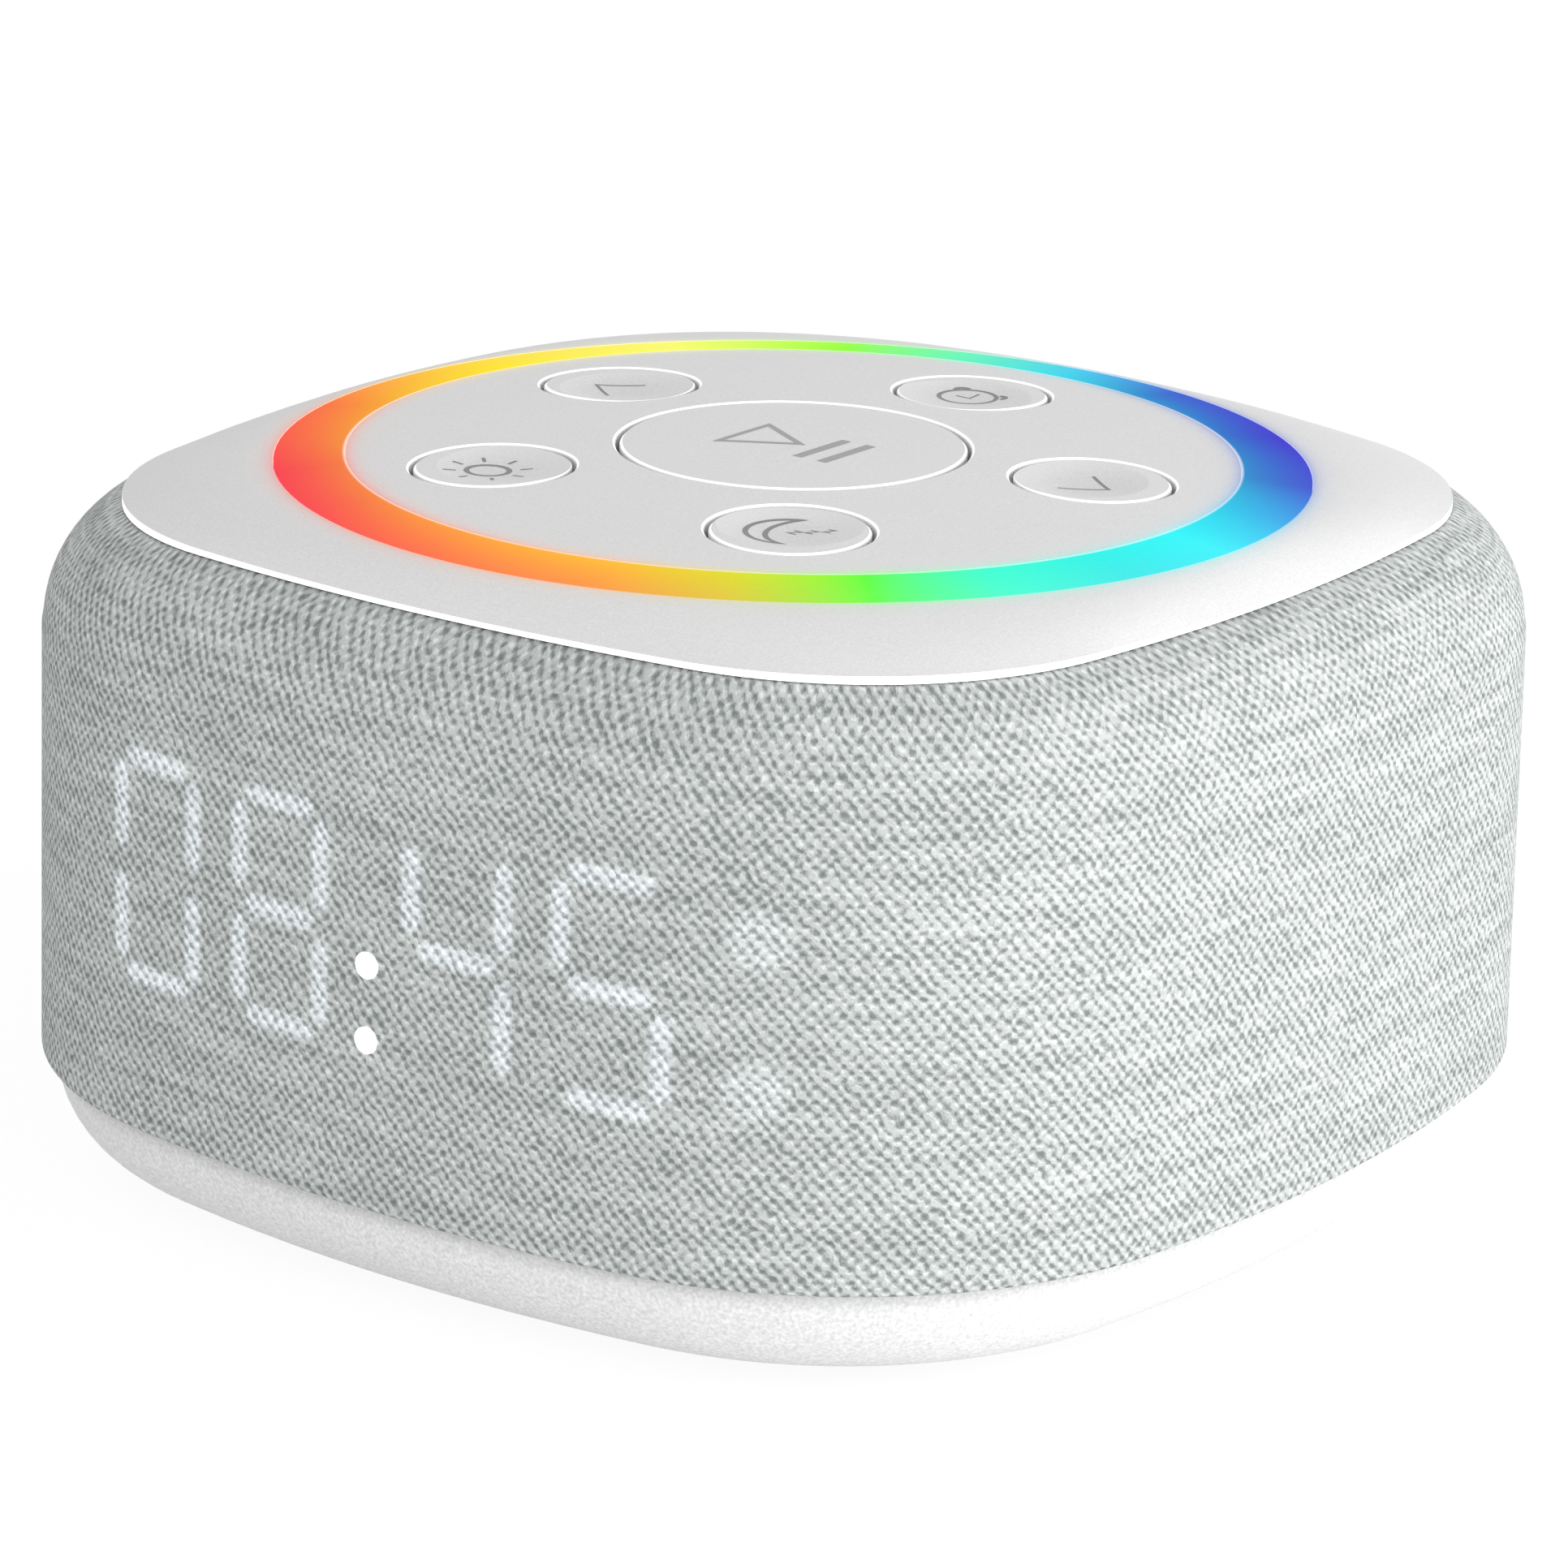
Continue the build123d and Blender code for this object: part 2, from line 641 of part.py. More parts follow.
# Top plate: slopes from the light ring down to a thin edge and pegs into the frame's posts.
with BuildPart() as top_plate:
    for share, height in ((1, plate_edge_top), (0.5, (plate_edge_top + ring_top_outer) / 2 + plate_crown),
                          (0, ring_top_outer)):
        with BuildSketch(level(height)):
            plate_outline.draw(share=share, circle_radius=ring_outer_radius + ring_gap)
    loft()
    with BuildSketch(level(post_top)):
        plate_outline.draw()
    extrude(amount=plate_edge_top - post_top)
    add(body_block(-seat_gap), mode=Mode.SUBTRACT)
    disc(deck, total_height - deck, ring_outer_radius + ring_gap, mode=Mode.SUBTRACT)
    disc(deck - peg_length, peg_length, peg_radius, post_spots)
keep(top_plate.part, "top_plate")

# ================================================================ light ring and control panel
# Light ring: a translucent band flush with the plate and the panel, with flanges under both.
with BuildPart() as light_ring:
    turned(
        (ring_inner_radius - ring_flange, ring_underside),
        (ring_outer_radius + ring_flange, ring_underside),
        (ring_outer_radius + ring_flange, flange_top),
        (ring_outer_radius, flange_top),
        (ring_outer_radius, ring_top_outer),
        (ring_inner_radius, ring_top_inner),
        (ring_inner_radius, flange_top),
        (ring_inner_radius - ring_flange, flange_top),
    )
keep(light_ring.part, "light_ring")

# Control panel: a domed disc with a bevelled hole for each button and bosses for the board.
with BuildPart() as control_panel:
    disc(deck, total_height - deck, ring_inner_radius - ring_gap)
    trim_to_dome()
    disc(deck, total_height - deck, small_cap_radius + button_gap, small_spots, mode=Mode.SUBTRACT)
    disc(deck, total_height - deck, centre_cap_radius + button_gap, mode=Mode.SUBTRACT)
    rims = control_panel.faces().sort_by(Axis.Z)[-1].edges().filter_by(lambda edge: edge.is_closed)
    chamfer(rims.sort_by(SortBy.LENGTH)[:-1], panel_chamfer)
    with BuildSketch(level(control_board_top + seat_gap)):
        with PolarLocations(panel_boss_circle, len(panel_boss_angles), panel_boss_angles[0]):
            Circle(panel_boss_radius)
            Circle(small_screw.pilot, mode=Mode.SUBTRACT)
    extrude(amount=deck - control_board_top - seat_gap)
keep(control_panel.part, "control_panel")


def button_cap(name, radius):
    """A push button's cap: a disc with a domed, bevelled top and a flange under the panel."""
    spot = [button_spots[name]]
    with BuildPart() as cap:
        disc(flange_top, total_height - flange_top, radius, spot)
        trim_to_dome()
        chamfer(cap.faces().sort_by(Axis.Z)[-1].edges(), cap_chamfer)
        disc(cap_underside, cap_flange_thickness, radius + cap_flange, spot)
    return cap.part


# Five small buttons, each with a shallow dish for the fingertip.
dish_half_width = small_cap_radius - dish_margin
dish_radius = (dish_half_width**2 + dish_depth**2) / (2 * dish_depth)
cap_crown = dome_centre + sqrt(dome_radius**2 - button_circle_radius**2)
for name in button_angles:
    with BuildPart() as small_cap:
        add(button_cap(name, small_cap_radius))
        with Locations((*button_spots[name], cap_crown - dish_depth + dish_radius)):
            Sphere(dish_radius, mode=Mode.SUBTRACT)
    keep(small_cap.part, f"{name}_button")

# Centre button: a hollow cap with a boss for its plunger.
with BuildPart() as centre_cap:
    add(button_cap("centre", centre_cap_radius))
    with BuildSketch(level(cap_underside)):
        Circle(centre_cap_radius - cap_shell)
        Circle(plunger_radius + cap_shell, mode=Mode.SUBTRACT)
    extrude(amount=total_height - cap_shell - panel_chamfer - cap_underside, mode=Mode.SUBTRACT)
keep(centre_cap.part, "centre_button")

# ================================================================ control board under the panel
with BuildPart() as control_board:
    disc(control_board_underside, board_thickness, control_board_radius)
    with BuildSketch(level(control_board_underside)):
        with PolarLocations(panel_boss_circle, len(panel_boss_angles), panel_boss_angles[0]):
            Circle(small_screw.clearance)
    extrude(amount=board_thickness, mode=Mode.SUBTRACT)
keep(control_board.part, "control_board")

panel_screw_spots = [
    (panel_boss_circle * cos(radians(angle)), panel_boss_circle * sin(radians(angle)))
    for angle in panel_boss_angles
]
keep(small_screw.at(level(control_board_underside), panel_screw_spots, panel_screw_length), "panel_screws")

with BuildPart() as switch_bodies:
    with BuildSketch(level(control_board_top)):
        with Locations(*button_spots.values()):
            Rectangle(switch_side, switch_side)
    extrude(amount=switch_height)
    disc(bore_floor, switch_top - bore_floor, plunger_radius + plunger_gap, button_spots.values(),
         mode=Mode.SUBTRACT)
keep(switch_bodies.part, "switch_bodies")

with BuildPart() as switch_domes:
    disc(bore_floor, dome_thickness, plunger_radius, button_spots.values())
keep(switch_domes.part, "switch_domes")

for name, spot in button_spots.items():
    with BuildPart() as plunger:
        disc(plunger_bottom, cap_underside - plunger_bottom, plunger_radius, [spot])
    keep(plunger.part, f"{name}_plunger")

with BuildPart() as ring_leds:
    with BuildSketch(level(control_board_top)):
        with PolarLocations(led_circle_radius, led_count):
            Rectangle(led_depth, led_width)
    extrude(amount=led_height)
keep(ring_leds.part, "ring_leds")

# Light channel: keeps the light of the LEDs under the ring.
with BuildPart() as light_channel:
    ring(control_board_top, ring_underside - seat_gap - control_board_top, control_board_radius,
         channel_inner_radius)
    with BuildSketch(level(control_board_top + channel_floor)):
        Circle(control_board_radius - channel_wall)
        Circle(channel_inner_radius + channel_wall, mode=Mode.SUBTRACT)
    extrude(amount=ring_underside - control_board_top, mode=Mode.SUBTRACT)
    with BuildSketch(level(control_board_top)):
        with PolarLocations(led_circle_radius, led_count):
            Rectangle(led_depth + 2 * led_gap, led_width + 2 * led_gap)
    extrude(amount=channel_floor, mode=Mode.SUBTRACT)
keep(light_channel.part, "light_channel")

# ================================================================ clock display
half_height = digit_height / 2
bar_places = [
    (0, half_height, 0, digit_width),
    (0, 0, 0, digit_width),
    (0, -half_height, 0, digit_width),
    (-digit_width / 2, half_height / 2, 90, half_height),
    (digit_width / 2, half_height / 2, 90, half_height),
    (-digit_width / 2, -half_height / 2, 90, half_height),
    (digit_width / 2, -half_height / 2, 90, half_height),
]
segment_spots = [
    (middle + x, digit_middle + z, angle, reach)
    for middle in digit_places
    for x, z, angle, reach in bar_places
]
indicator_spots = [(indicator_place, height) for height in indicator_heights]
colon_spots = [(colon_place, height) for height in colon_heights]


def draw_segments(growth=0.0):
    """Draws every bar of the digits as a six-sided shape, and the round indicators."""
    half_stroke = stroke / 2 + growth
    for x, z, angle, reach in segment_spots:
        end = reach / 2 - segment_gap / 2 + growth
        with Locations(Location((x, z), angle)):
            Polygon(
                (end, 0), (end - half_stroke, half_stroke), (half_stroke - end, half_stroke),
                (-end, 0), (half_stroke - end, -half_stroke), (end - half_stroke, -half_stroke),
                align=None,
            )
    with Locations(*indicator_spots):
        Circle(indicator_radius + growth)


# Display housing: fills the frame's window and keeps the light of each bar apart.
with BuildPart() as display_housing:
    with BuildSketch(facing_front(display_plane)):
        with Locations(((housing_left + housing_right) / 2, digit_middle)):
            Rectangle(housing_right - housing_left, housing_top - housing_bottom)
    extrude(amount=body_half_width - display_plane)
    add(body_block(sleeve_inset), mode=Mode.INTERSECT)
    with BuildSketch(facing_front(display_plane)):
        draw_segments(guide_gap)
        with Locations(*colon_spots):
            Circle(colon_radius + guide_gap)
    extrude(amount=body_half_width - display_plane, mode=Mode.SUBTRACT)
keep(display_housing.part, "display_housing")

# Light guides of the bars and indicators, behind the sleeve.
with BuildPart() as digit_segments:
    with BuildSketch(facing_front(guide_back)):
        draw_segments()
    extrude(amount=body_half_width - guide_back)
    add(body_block(sleeve_inset), mode=Mode.INTERSECT)
keep(digit_segments.part, "digit_segments")

# Lenses of the colon, just proud of the sleeve.
with BuildPart() as colon_lenses:
    with BuildSketch(facing_front(guide_back)):
        with Locations(*colon_spots):
            Circle(colon_radius)
    extrude(amount=body_half_width + colon_proud - guide_back)
    add(body_block(-colon_proud), mode=Mode.INTERSECT)
keep(colon_lenses.part, "colon_lenses")

with BuildPart() as display_board:
    with BuildSketch(facing_front(display_board_back)):
        with Locations((0, digit_middle)):
            Rectangle(
                2 * display_board_half_width,
                housing_top - housing_bottom + 2 * display_board_margin,
            )
        with Locations(*display_post_spots):
            Circle(small_screw.clearance, mode=Mode.SUBTRACT)
    extrude(amount=display_board_thickness)
keep(display_board.part, "display_board")

with BuildPart() as display_leds:
    with BuildSketch(facing_front(display_board_face)):
        for x, z, _angle, _reach in segment_spots:
            with Locations((x, z)):
                Rectangle(display_led_side, display_led_side)
        with Locations(*indicator_spots, *colon_spots):
            Rectangle(display_led_side, display_led_side)
    extrude(amount=display_led_height)
keep(display_leds.part, "display_leds")

display_screws = small_screw.at(facing_front(display_board_back), display_post_spots, display_screw_length)
keep(display_screws, "display_screws")

# ================================================================ loudspeaker
# Baffle: a plate on the base's legs that the driver is screwed to, notched for the leads.
with BuildPart() as speaker_baffle:
    ring(baffle_underside, baffle_thickness, baffle_radius, mouth_radius)
    disc(baffle_underside, baffle_thickness, small_screw.clearance, leg_spots, mode=Mode.SUBTRACT)
    disc(baffle_underside, baffle_thickness, small_screw.pilot, speaker_screw_spots, mode=Mode.SUBTRACT)
    slab(baffle_underside, baffle_thickness,
         (speaker_plug[0] - notch_width / 2, speaker_plug[0] + notch_width / 2),
         (speaker_plug[1] - notch_reach, baffle_radius), mode=Mode.SUBTRACT)
keep(speaker_baffle.part, "speaker_baffle")

keep(small_screw.at(level(baffle_top), leg_spots, panel_screw_length, way=-1), "baffle_screws")

with BuildPart() as speaker_gasket:
    ring(baffle_top, gasket_thickness, basket_flange_radius, mouth_radius)
    disc(baffle_top, gasket_thickness, small_screw.clearance, speaker_screw_spots, mode=Mode.SUBTRACT)
keep(speaker_gasket.part, "speaker_gasket")


def basket_inside(height):
    """The radius inside the basket's sloping wall at a height."""
    share = (height - basket_flange_top) / basket_depth
    return basket_front_radius - basket_wall + (basket_rear_radius - basket_front_radius) * share


# Basket: flange, sloping wall with windows, a ledge for the spider, a rear plate and terminals.
with BuildPart() as speaker_basket:
    turned(
        (basket_throat_radius, basket_bottom),
        (basket_flange_radius, basket_bottom),
        (basket_flange_radius, basket_flange_top),
        (basket_front_radius, basket_flange_top),
        (basket_rear_radius, rear_plate_top),
        (basket_bore, rear_plate_top),
        (basket_bore, rear_plate_bottom),
        (spider_land, rear_plate_bottom),
        (spider_land, spider_top),
        (basket_inside(spider_top), spider_top),
        (basket_inside(basket_flange_top), basket_flange_top),
        (basket_throat_radius, basket_flange_top),
    )
    with BuildSketch(level(basket_flange_top + basket_window_margin)):
        with PolarLocations((basket_front_radius + spider_land) / 2, basket_window_count):
            Rectangle(basket_front_radius - spider_land, basket_window_width)
    extrude(amount=basket_depth - basket_window_room, mode=Mode.SUBTRACT)
    disc(basket_bottom, basket_flange_thickness, small_screw.clearance, speaker_screw_spots,
         mode=Mode.SUBTRACT)
    slab(rear_plate_bottom, basket_wall,
         (speaker_plug[0] - terminal_width / 2, speaker_plug[0] + terminal_width / 2),
         (spider_land, terminal_reach))
keep(speaker_basket.part, "speaker_basket")

keep(small_screw.at(level(basket_flange_top), speaker_screw_spots, speaker_screw_length, way=-1),
     "speaker_screws")

with BuildPart() as magnet_washer:
    ring(rear_plate_top, washer_thickness, washer_radius, washer_bore)
keep(magnet_washer.part, "magnet_washer")

with BuildPart() as speaker_magnet:
    ring(washer_top, magnet_thickness, magnet_radius, magnet_bore)
keep(speaker_magnet.part, "speaker_magnet")

with BuildPart() as pole_piece:
    disc(magnet_top, yoke_thickness, yoke_radius)
    disc(rear_plate_top, magnet_top - rear_plate_top, pole_radius)
keep(pole_piece.part, "pole_piece")

# Cone: a flat rim on the surround and a straight wall up to the coil.
cone_foot = cone_outer_radius - cone_rim
with BuildPart() as speaker_cone:
    turned(
        (cone_outer_radius, surround_top),
        (cone_outer_radius, cone_rim_top),
        (cone_foot, cone_rim_top),
        (coil_outer_radius, cone_neck),
        (coil_outer_radius, cone_neck - cone_thickness),
        (cone_foot, surround_top),
    )
keep(speaker_cone.part, "speaker_cone")

with BuildPart() as voice_coil:
    ring(cone_neck - coil_overlap, coil_length, coil_outer_radius, coil_inner_radius)
keep(voice_coil.part, "voice_coil")

# Dust cap: a shallow dome glued to the cone's face, around the end of the coil.
cone_slope = (cone_neck - cone_rim_top) / (cone_foot - coil_outer_radius)
cap_rim = surround_top + (cone_foot - dust_cap_radius) * cone_slope - seat_gap
cap_radius = (dust_cap_radius**2 + dust_cap_depth**2) / (2 * dust_cap_depth)
with BuildPart() as dust_cap:
    with BuildSketch(Plane.XZ):
        with Locations((0, cap_rim - dust_cap_depth + cap_radius)):
            Circle(cap_radius)
            Circle(cap_radius - cone_thickness, mode=Mode.SUBTRACT)
        with Locations((0, cap_rim - dust_cap_depth)):
            Rectangle(dust_cap_radius, dust_cap_depth, align=(Align.MIN, Align.MIN), mode=Mode.INTERSECT)
    revolve(axis=Axis.Z)
keep(dust_cap.part, "dust_cap")

# Surround: a half roll between the cone's rim and the flange.
with BuildPart() as cone_surround:
    with BuildSketch(Plane.XZ):
        with Locations((roll_place, basket_flange_top)):
            Circle(roll_radius)
            Circle(roll_radius - cone_thickness, mode=Mode.SUBTRACT)
            Rectangle(2 * roll_radius, roll_radius, align=(Align.CENTER, Align.MIN), mode=Mode.SUBTRACT)
        with Locations((roll_place - roll_radius - cone_rim, basket_flange_top)):
            Rectangle(cone_rim + cone_thickness, cone_thickness, align=Align.MIN)
        with Locations((roll_place + roll_radius - cone_thickness, basket_flange_top)):
            Rectangle(land_width + cone_thickness, cone_thickness, align=Align.MIN)
    revolve(axis=Axis.Z)
keep(cone_surround.part, "cone_surround")

# Spider: a corrugated disc between the coil and the ledge in the basket.
spider_middle = (spider_bottom + spider_top) / 2
roll_pitch = 2 * spider_roll
spider_start = coil_outer_radius + cone_rim
spider_end = spider_start + spider_roll_count * roll_pitch - cone_thickness / 2
spider_edge = basket_inside(spider_top) - glue_gap
with BuildPart() as cone_spider:
    for first, cut_side in ((0, Align.MIN), (1, Align.MAX)):
        with BuildSketch(Plane.XZ):
            rolls = range(first, spider_roll_count, 2)
            with Locations(*[(spider_start + (i + 0.5) * roll_pitch, spider_middle) for i in rolls]):
                Circle(spider_roll + cone_thickness / 2)
                Circle(spider_roll - cone_thickness / 2, mode=Mode.SUBTRACT)
            with Locations((0, spider_middle)):
                Rectangle(spider_land, roll_pitch, align=(Align.MIN, cut_side), mode=Mode.SUBTRACT)
        revolve(axis=Axis.Z)
    with BuildSketch(Plane.XZ):
        with Locations((coil_outer_radius, spider_middle)):
            Rectangle(
                spider_start + cone_thickness / 2 - coil_outer_radius, cone_thickness,
                align=(Align.MIN, Align.CENTER),
            )
        with Locations((spider_end, spider_middle)):
            Rectangle(spider_edge - spider_end, cone_thickness, align=(Align.MIN, Align.CENTER))
    revolve(axis=Axis.Z)
keep(cone_spider.part, "cone_spider")

# Sound deflector under the cone, standing on the floor.
with BuildPart() as sound_deflector:
    with BuildSketch(Plane.XZ):
        with BuildLine():
            bottom = floor_top + seat_gap
            tip = (deflector_tip, bottom + deflector_height)
            rim = (deflector_radius, bottom + deflector_rim)
            Polyline(rim, (deflector_radius, bottom), (0, bottom), (0, tip[1]), tip)
            SagittaArc(tip, rim, deflector_bow)
        make_face()
    revolve(axis=Axis.Z)
keep(sound_deflector.part, "sound_deflector")

# ================================================================ main board and wiring
with BuildPart() as main_board:
    slab(main_board_underside, board_thickness, (-main_board_half_width, main_board_half_width),
         (main_board_front, main_board_rear))
    disc(main_board_underside, board_thickness, small_screw.clearance, standoff_spots,
         mode=Mode.SUBTRACT)
keep(main_board.part, "main_board")

keep(small_screw.at(level(main_board_top), standoff_spots, standoff_screw_length, way=-1),
     "main_board_screws")

# Power socket: a metal shell under the board with a tongue inside, its mouth in the base's wall.
with BuildPart() as usb_socket:
    with BuildSketch(facing_front(-socket_mouth)) as mouth:
        with Locations((0, main_board_underside - socket_height / 2)):
            SlotOverall(socket_width, socket_height)
    extrude(amount=socket_length)
    with BuildSketch(facing_front(-socket_mouth)):
        with Locations((0, main_board_underside - socket_height / 2)):
            SlotOverall(socket_width - 2 * socket_wall, socket_height - 2 * socket_wall)
    extrude(amount=socket_depth, mode=Mode.SUBTRACT)
    with BuildSketch(facing_front(socket_depth - socket_mouth)):
        with Locations((0, main_board_underside - socket_height / 2)):
            Rectangle(tongue_width, tongue_height)
    extrude(amount=-tongue_length)
keep(usb_socket.part, "usb_socket")

# Chips: the sound processor, its memory and the amplifier on the main board, and the clock chip.
with BuildPart() as circuit_chips:
    for x, setback, side, height in main_chips:
        y = main_board_rear - setback
        slab(main_board_top, height, (x - side / 2, x + side / 2), (y - side / 2, y + side / 2))
    with BuildSketch(level(control_board_underside)):
        with Locations(control_chip):
            Rectangle(control_chip_side, control_chip_side)
    extrude(amount=-chip_height)
keep(circuit_chips.part, "circuit_chips")

# Backup cell for the clock, in a round holder with an open side.
cell_spot = [(cell_x, cell_y)]
with BuildPart() as cell_holder:
    disc(main_board_top, holder_floor, holder_radius, cell_spot)
    ring(main_board_top + holder_floor, cell_thickness, holder_radius, cell_radius + holder_gap,
         cell_spot)
    slab(main_board_top + holder_floor, cell_thickness,
         (cell_x + holder_mouth_start, cell_x + holder_radius + holder_wall),
         (cell_y - holder_mouth / 2, cell_y + holder_mouth / 2), mode=Mode.SUBTRACT)
keep(cell_holder.part, "cell_holder")

with BuildPart() as backup_cell:
    disc(main_board_top + holder_floor, cell_thickness, cell_radius, cell_spot)
    chamfer(backup_cell.edges().filter_by(GeomType.CIRCLE), cell_chamfer)
keep(backup_cell.part, "backup_cell")

# Plugs of the two ribbons and of the speaker's leads.
display_plug_face = display_board_back - plug_depth
with BuildPart() as board_plugs:
    for x, y in (display_plug, speaker_plug, control_plug):
        slab(main_board_top, plug_height, (x - plug_width / 2, x + plug_width / 2),
             (y - plug_depth / 2, y + plug_depth / 2))
    slab(control_board_underside - plug_height, plug_height,
         (control_plug[0] - plug_width / 2, control_plug[0] + plug_width / 2),
         (control_plug_inset - plug_depth / 2, control_plug_inset + plug_depth / 2))
    slab(display_plug_height, plug_height,
         (display_plug[0] - plug_width / 2, display_plug[0] + plug_width / 2),
         (-display_board_back, -display_plug_face))
keep(board_plugs.part, "board_plugs")


def ribbon(x, points):
    """A flat cable in the upright plane at x, through points given as y and height."""
    with BuildPart() as cable:
        with BuildLine(Plane.YZ.offset(x)) as route:
            FilletPolyline(*points, radius=ribbon_bend)
        with BuildSketch(Plane(origin=route.line @ 0, x_dir=(1, 0, 0), z_dir=route.line % 0)):
            Rectangle(ribbon_width, ribbon_thickness)
        sweep(path=route.line)
    return cable.part


# Ribbon to the display: off the front of its plug, over the deflector and up behind the board.
display_ribbon_height = main_board_top + plug_height / 2
keep(ribbon(display_plug[0], [
    (display_plug[1] - plug_depth / 2 - ribbon_gap, display_ribbon_height),
    (-(display_board_back + display_plug_face) / 2, display_ribbon_height),
    (-(display_board_back + display_plug_face) / 2, display_plug_height - ribbon_gap),
]), "display_ribbon")

# Ribbon to the control board: up behind the speaker, then in under the board.
control_ribbon_height = control_board_underside - plug_height - ribbon_gap - ribbon_bend
keep(ribbon(control_plug[0], [
    (control_plug[1], plug_top + ribbon_gap),
    (control_plug[1], control_ribbon_height),
    (control_plug_inset, control_ribbon_height),
    (control_plug_inset, control_board_underside - plug_height - ribbon_gap),
]), "control_ribbon")

# Leads to the loudspeaker: up through the baffle's notch and in on to the terminals.
lead_height = rear_plate_top + ribbon_gap + lead_radius
with BuildPart() as speaker_leads:
    for x in lead_places:
        with BuildLine(Plane.YZ.offset(x)) as lead:
            FilletPolyline(
                (speaker_plug[1], plug_top + ribbon_gap),
                (speaker_plug[1], lead_height),
                (lead_end, lead_height),
                radius=lead_bend,
            )
        with BuildSketch(Plane(origin=lead.line @ 0, z_dir=lead.line % 0)):
            Circle(lead_radius)
        sweep(path=lead.line)
keep(speaker_leads.part, "speaker_leads")

os.makedirs("parts", exist_ok=True)
for name, part in parts.items():
    export_step(part, f"parts/{name}.step")
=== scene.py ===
"""Dresses the bedside white noise machine: knit sleeve, finishes, printed symbols, light and camera.

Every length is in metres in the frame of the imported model: +Z is up, the clock faces -Y and the
origin is the middle of the footprint at table level.
"""

from __future__ import annotations

import json
import logging
import math
from collections.abc import Iterable, Iterator, Sequence
from dataclasses import dataclass, field
from enum import Enum
from functools import cached_property, partialmethod

import bmesh
import bpy
from bmesh.types import BMesh, BMVert
from bpy.types import ColorRamp, Material, Mesh, Node, NodeSocket, Object
from mathutils import Matrix, Vector


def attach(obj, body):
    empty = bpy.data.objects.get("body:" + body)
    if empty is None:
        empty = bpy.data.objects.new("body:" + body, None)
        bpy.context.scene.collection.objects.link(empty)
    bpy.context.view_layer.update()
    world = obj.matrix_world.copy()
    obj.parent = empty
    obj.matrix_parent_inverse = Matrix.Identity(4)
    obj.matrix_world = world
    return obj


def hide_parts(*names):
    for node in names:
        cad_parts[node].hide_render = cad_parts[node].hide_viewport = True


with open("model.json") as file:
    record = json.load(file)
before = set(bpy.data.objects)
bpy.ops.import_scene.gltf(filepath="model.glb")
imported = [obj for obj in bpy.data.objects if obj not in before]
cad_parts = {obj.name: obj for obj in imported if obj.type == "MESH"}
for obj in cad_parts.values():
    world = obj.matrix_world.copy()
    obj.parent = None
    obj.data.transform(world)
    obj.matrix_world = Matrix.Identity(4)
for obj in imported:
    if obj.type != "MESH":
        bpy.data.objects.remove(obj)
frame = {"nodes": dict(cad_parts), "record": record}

MM = 0.001
LOG = logging.getLogger("sound_machine")

Color = tuple[float, float, float]
Point = tuple[float, float]


def srgb(red: int, green: int, blue: int) -> Color:
    """Turns a screen colour of 0 to 255 a channel into the linear colour that a shader takes.

    Args:
        red: Red, from 0 to 255.
        green: Green, from 0 to 255.
        blue: Blue, from 0 to 255.

    Returns:
        The linear colour.
    """

    def linear(channel: int) -> float:
        """Undoes the screen's curve on one channel."""
        share = channel / 255
        return share / 12.92 if share <= 0.04045 else ((share + 0.055) / 1.055) ** 2.4

    return linear(red), linear(green), linear(blue)


# ---- shader maths


class Value:
    """A number that varies over a surface: an output socket with arithmetic."""

    def __init__(self, nodes: Nodes, socket: NodeSocket) -> None:
        """Wraps a socket of the material whose nodes are given."""
        self.nodes = nodes
        self.socket = socket

    def math(self, operation: str, *others: Value | float) -> Value:
        """Adds a Math node that starts from this value.

        Args:
            operation: The Math node's operation.
            others: The node's other inputs, in order.

        Returns:
            The node's result.
        """
        inputs = dict(enumerate((self, *others)))
        node = self.nodes.add("ShaderNodeMath", {"operation": operation}, inputs)
        return Value(self.nodes, node.outputs[0])

    __add__ = partialmethod(math, "ADD")
    __sub__ = partialmethod(math, "SUBTRACT")
    __mul__ = partialmethod(math, "MULTIPLY")
    __truediv__ = partialmethod(math, "DIVIDE")
    __pow__ = partialmethod(math, "POWER")
    __abs__ = partialmethod(math, "ABSOLUTE")

    def __rsub__(self, other: float) -> Value:
        """Subtracts this value from a number."""
        return self * -1.0 + other

    def vary(self, middle: float, swing: float) -> Value:
        """Turns noise from 0 to 1 into a number that swings about a middle."""
        return (self - 0.5) * swing + middle

    def ramp(self, low: float, high: float) -> Value:
        """Goes smoothly from 0 at low to 1 at high.

        Args:
            low: The value where the result is 0.
            high: The value where the result is 1. It may be below low.

        Returns:
            The eased share, from 0 to 1.
        """
        settings = {"interpolation_type": "SMOOTHSTEP"}
        inputs = {0: self, 1: low, 2: high}
        node = self.nodes.add("ShaderNodeMapRange", settings, inputs)
        return Value(self.nodes, node.outputs[0])


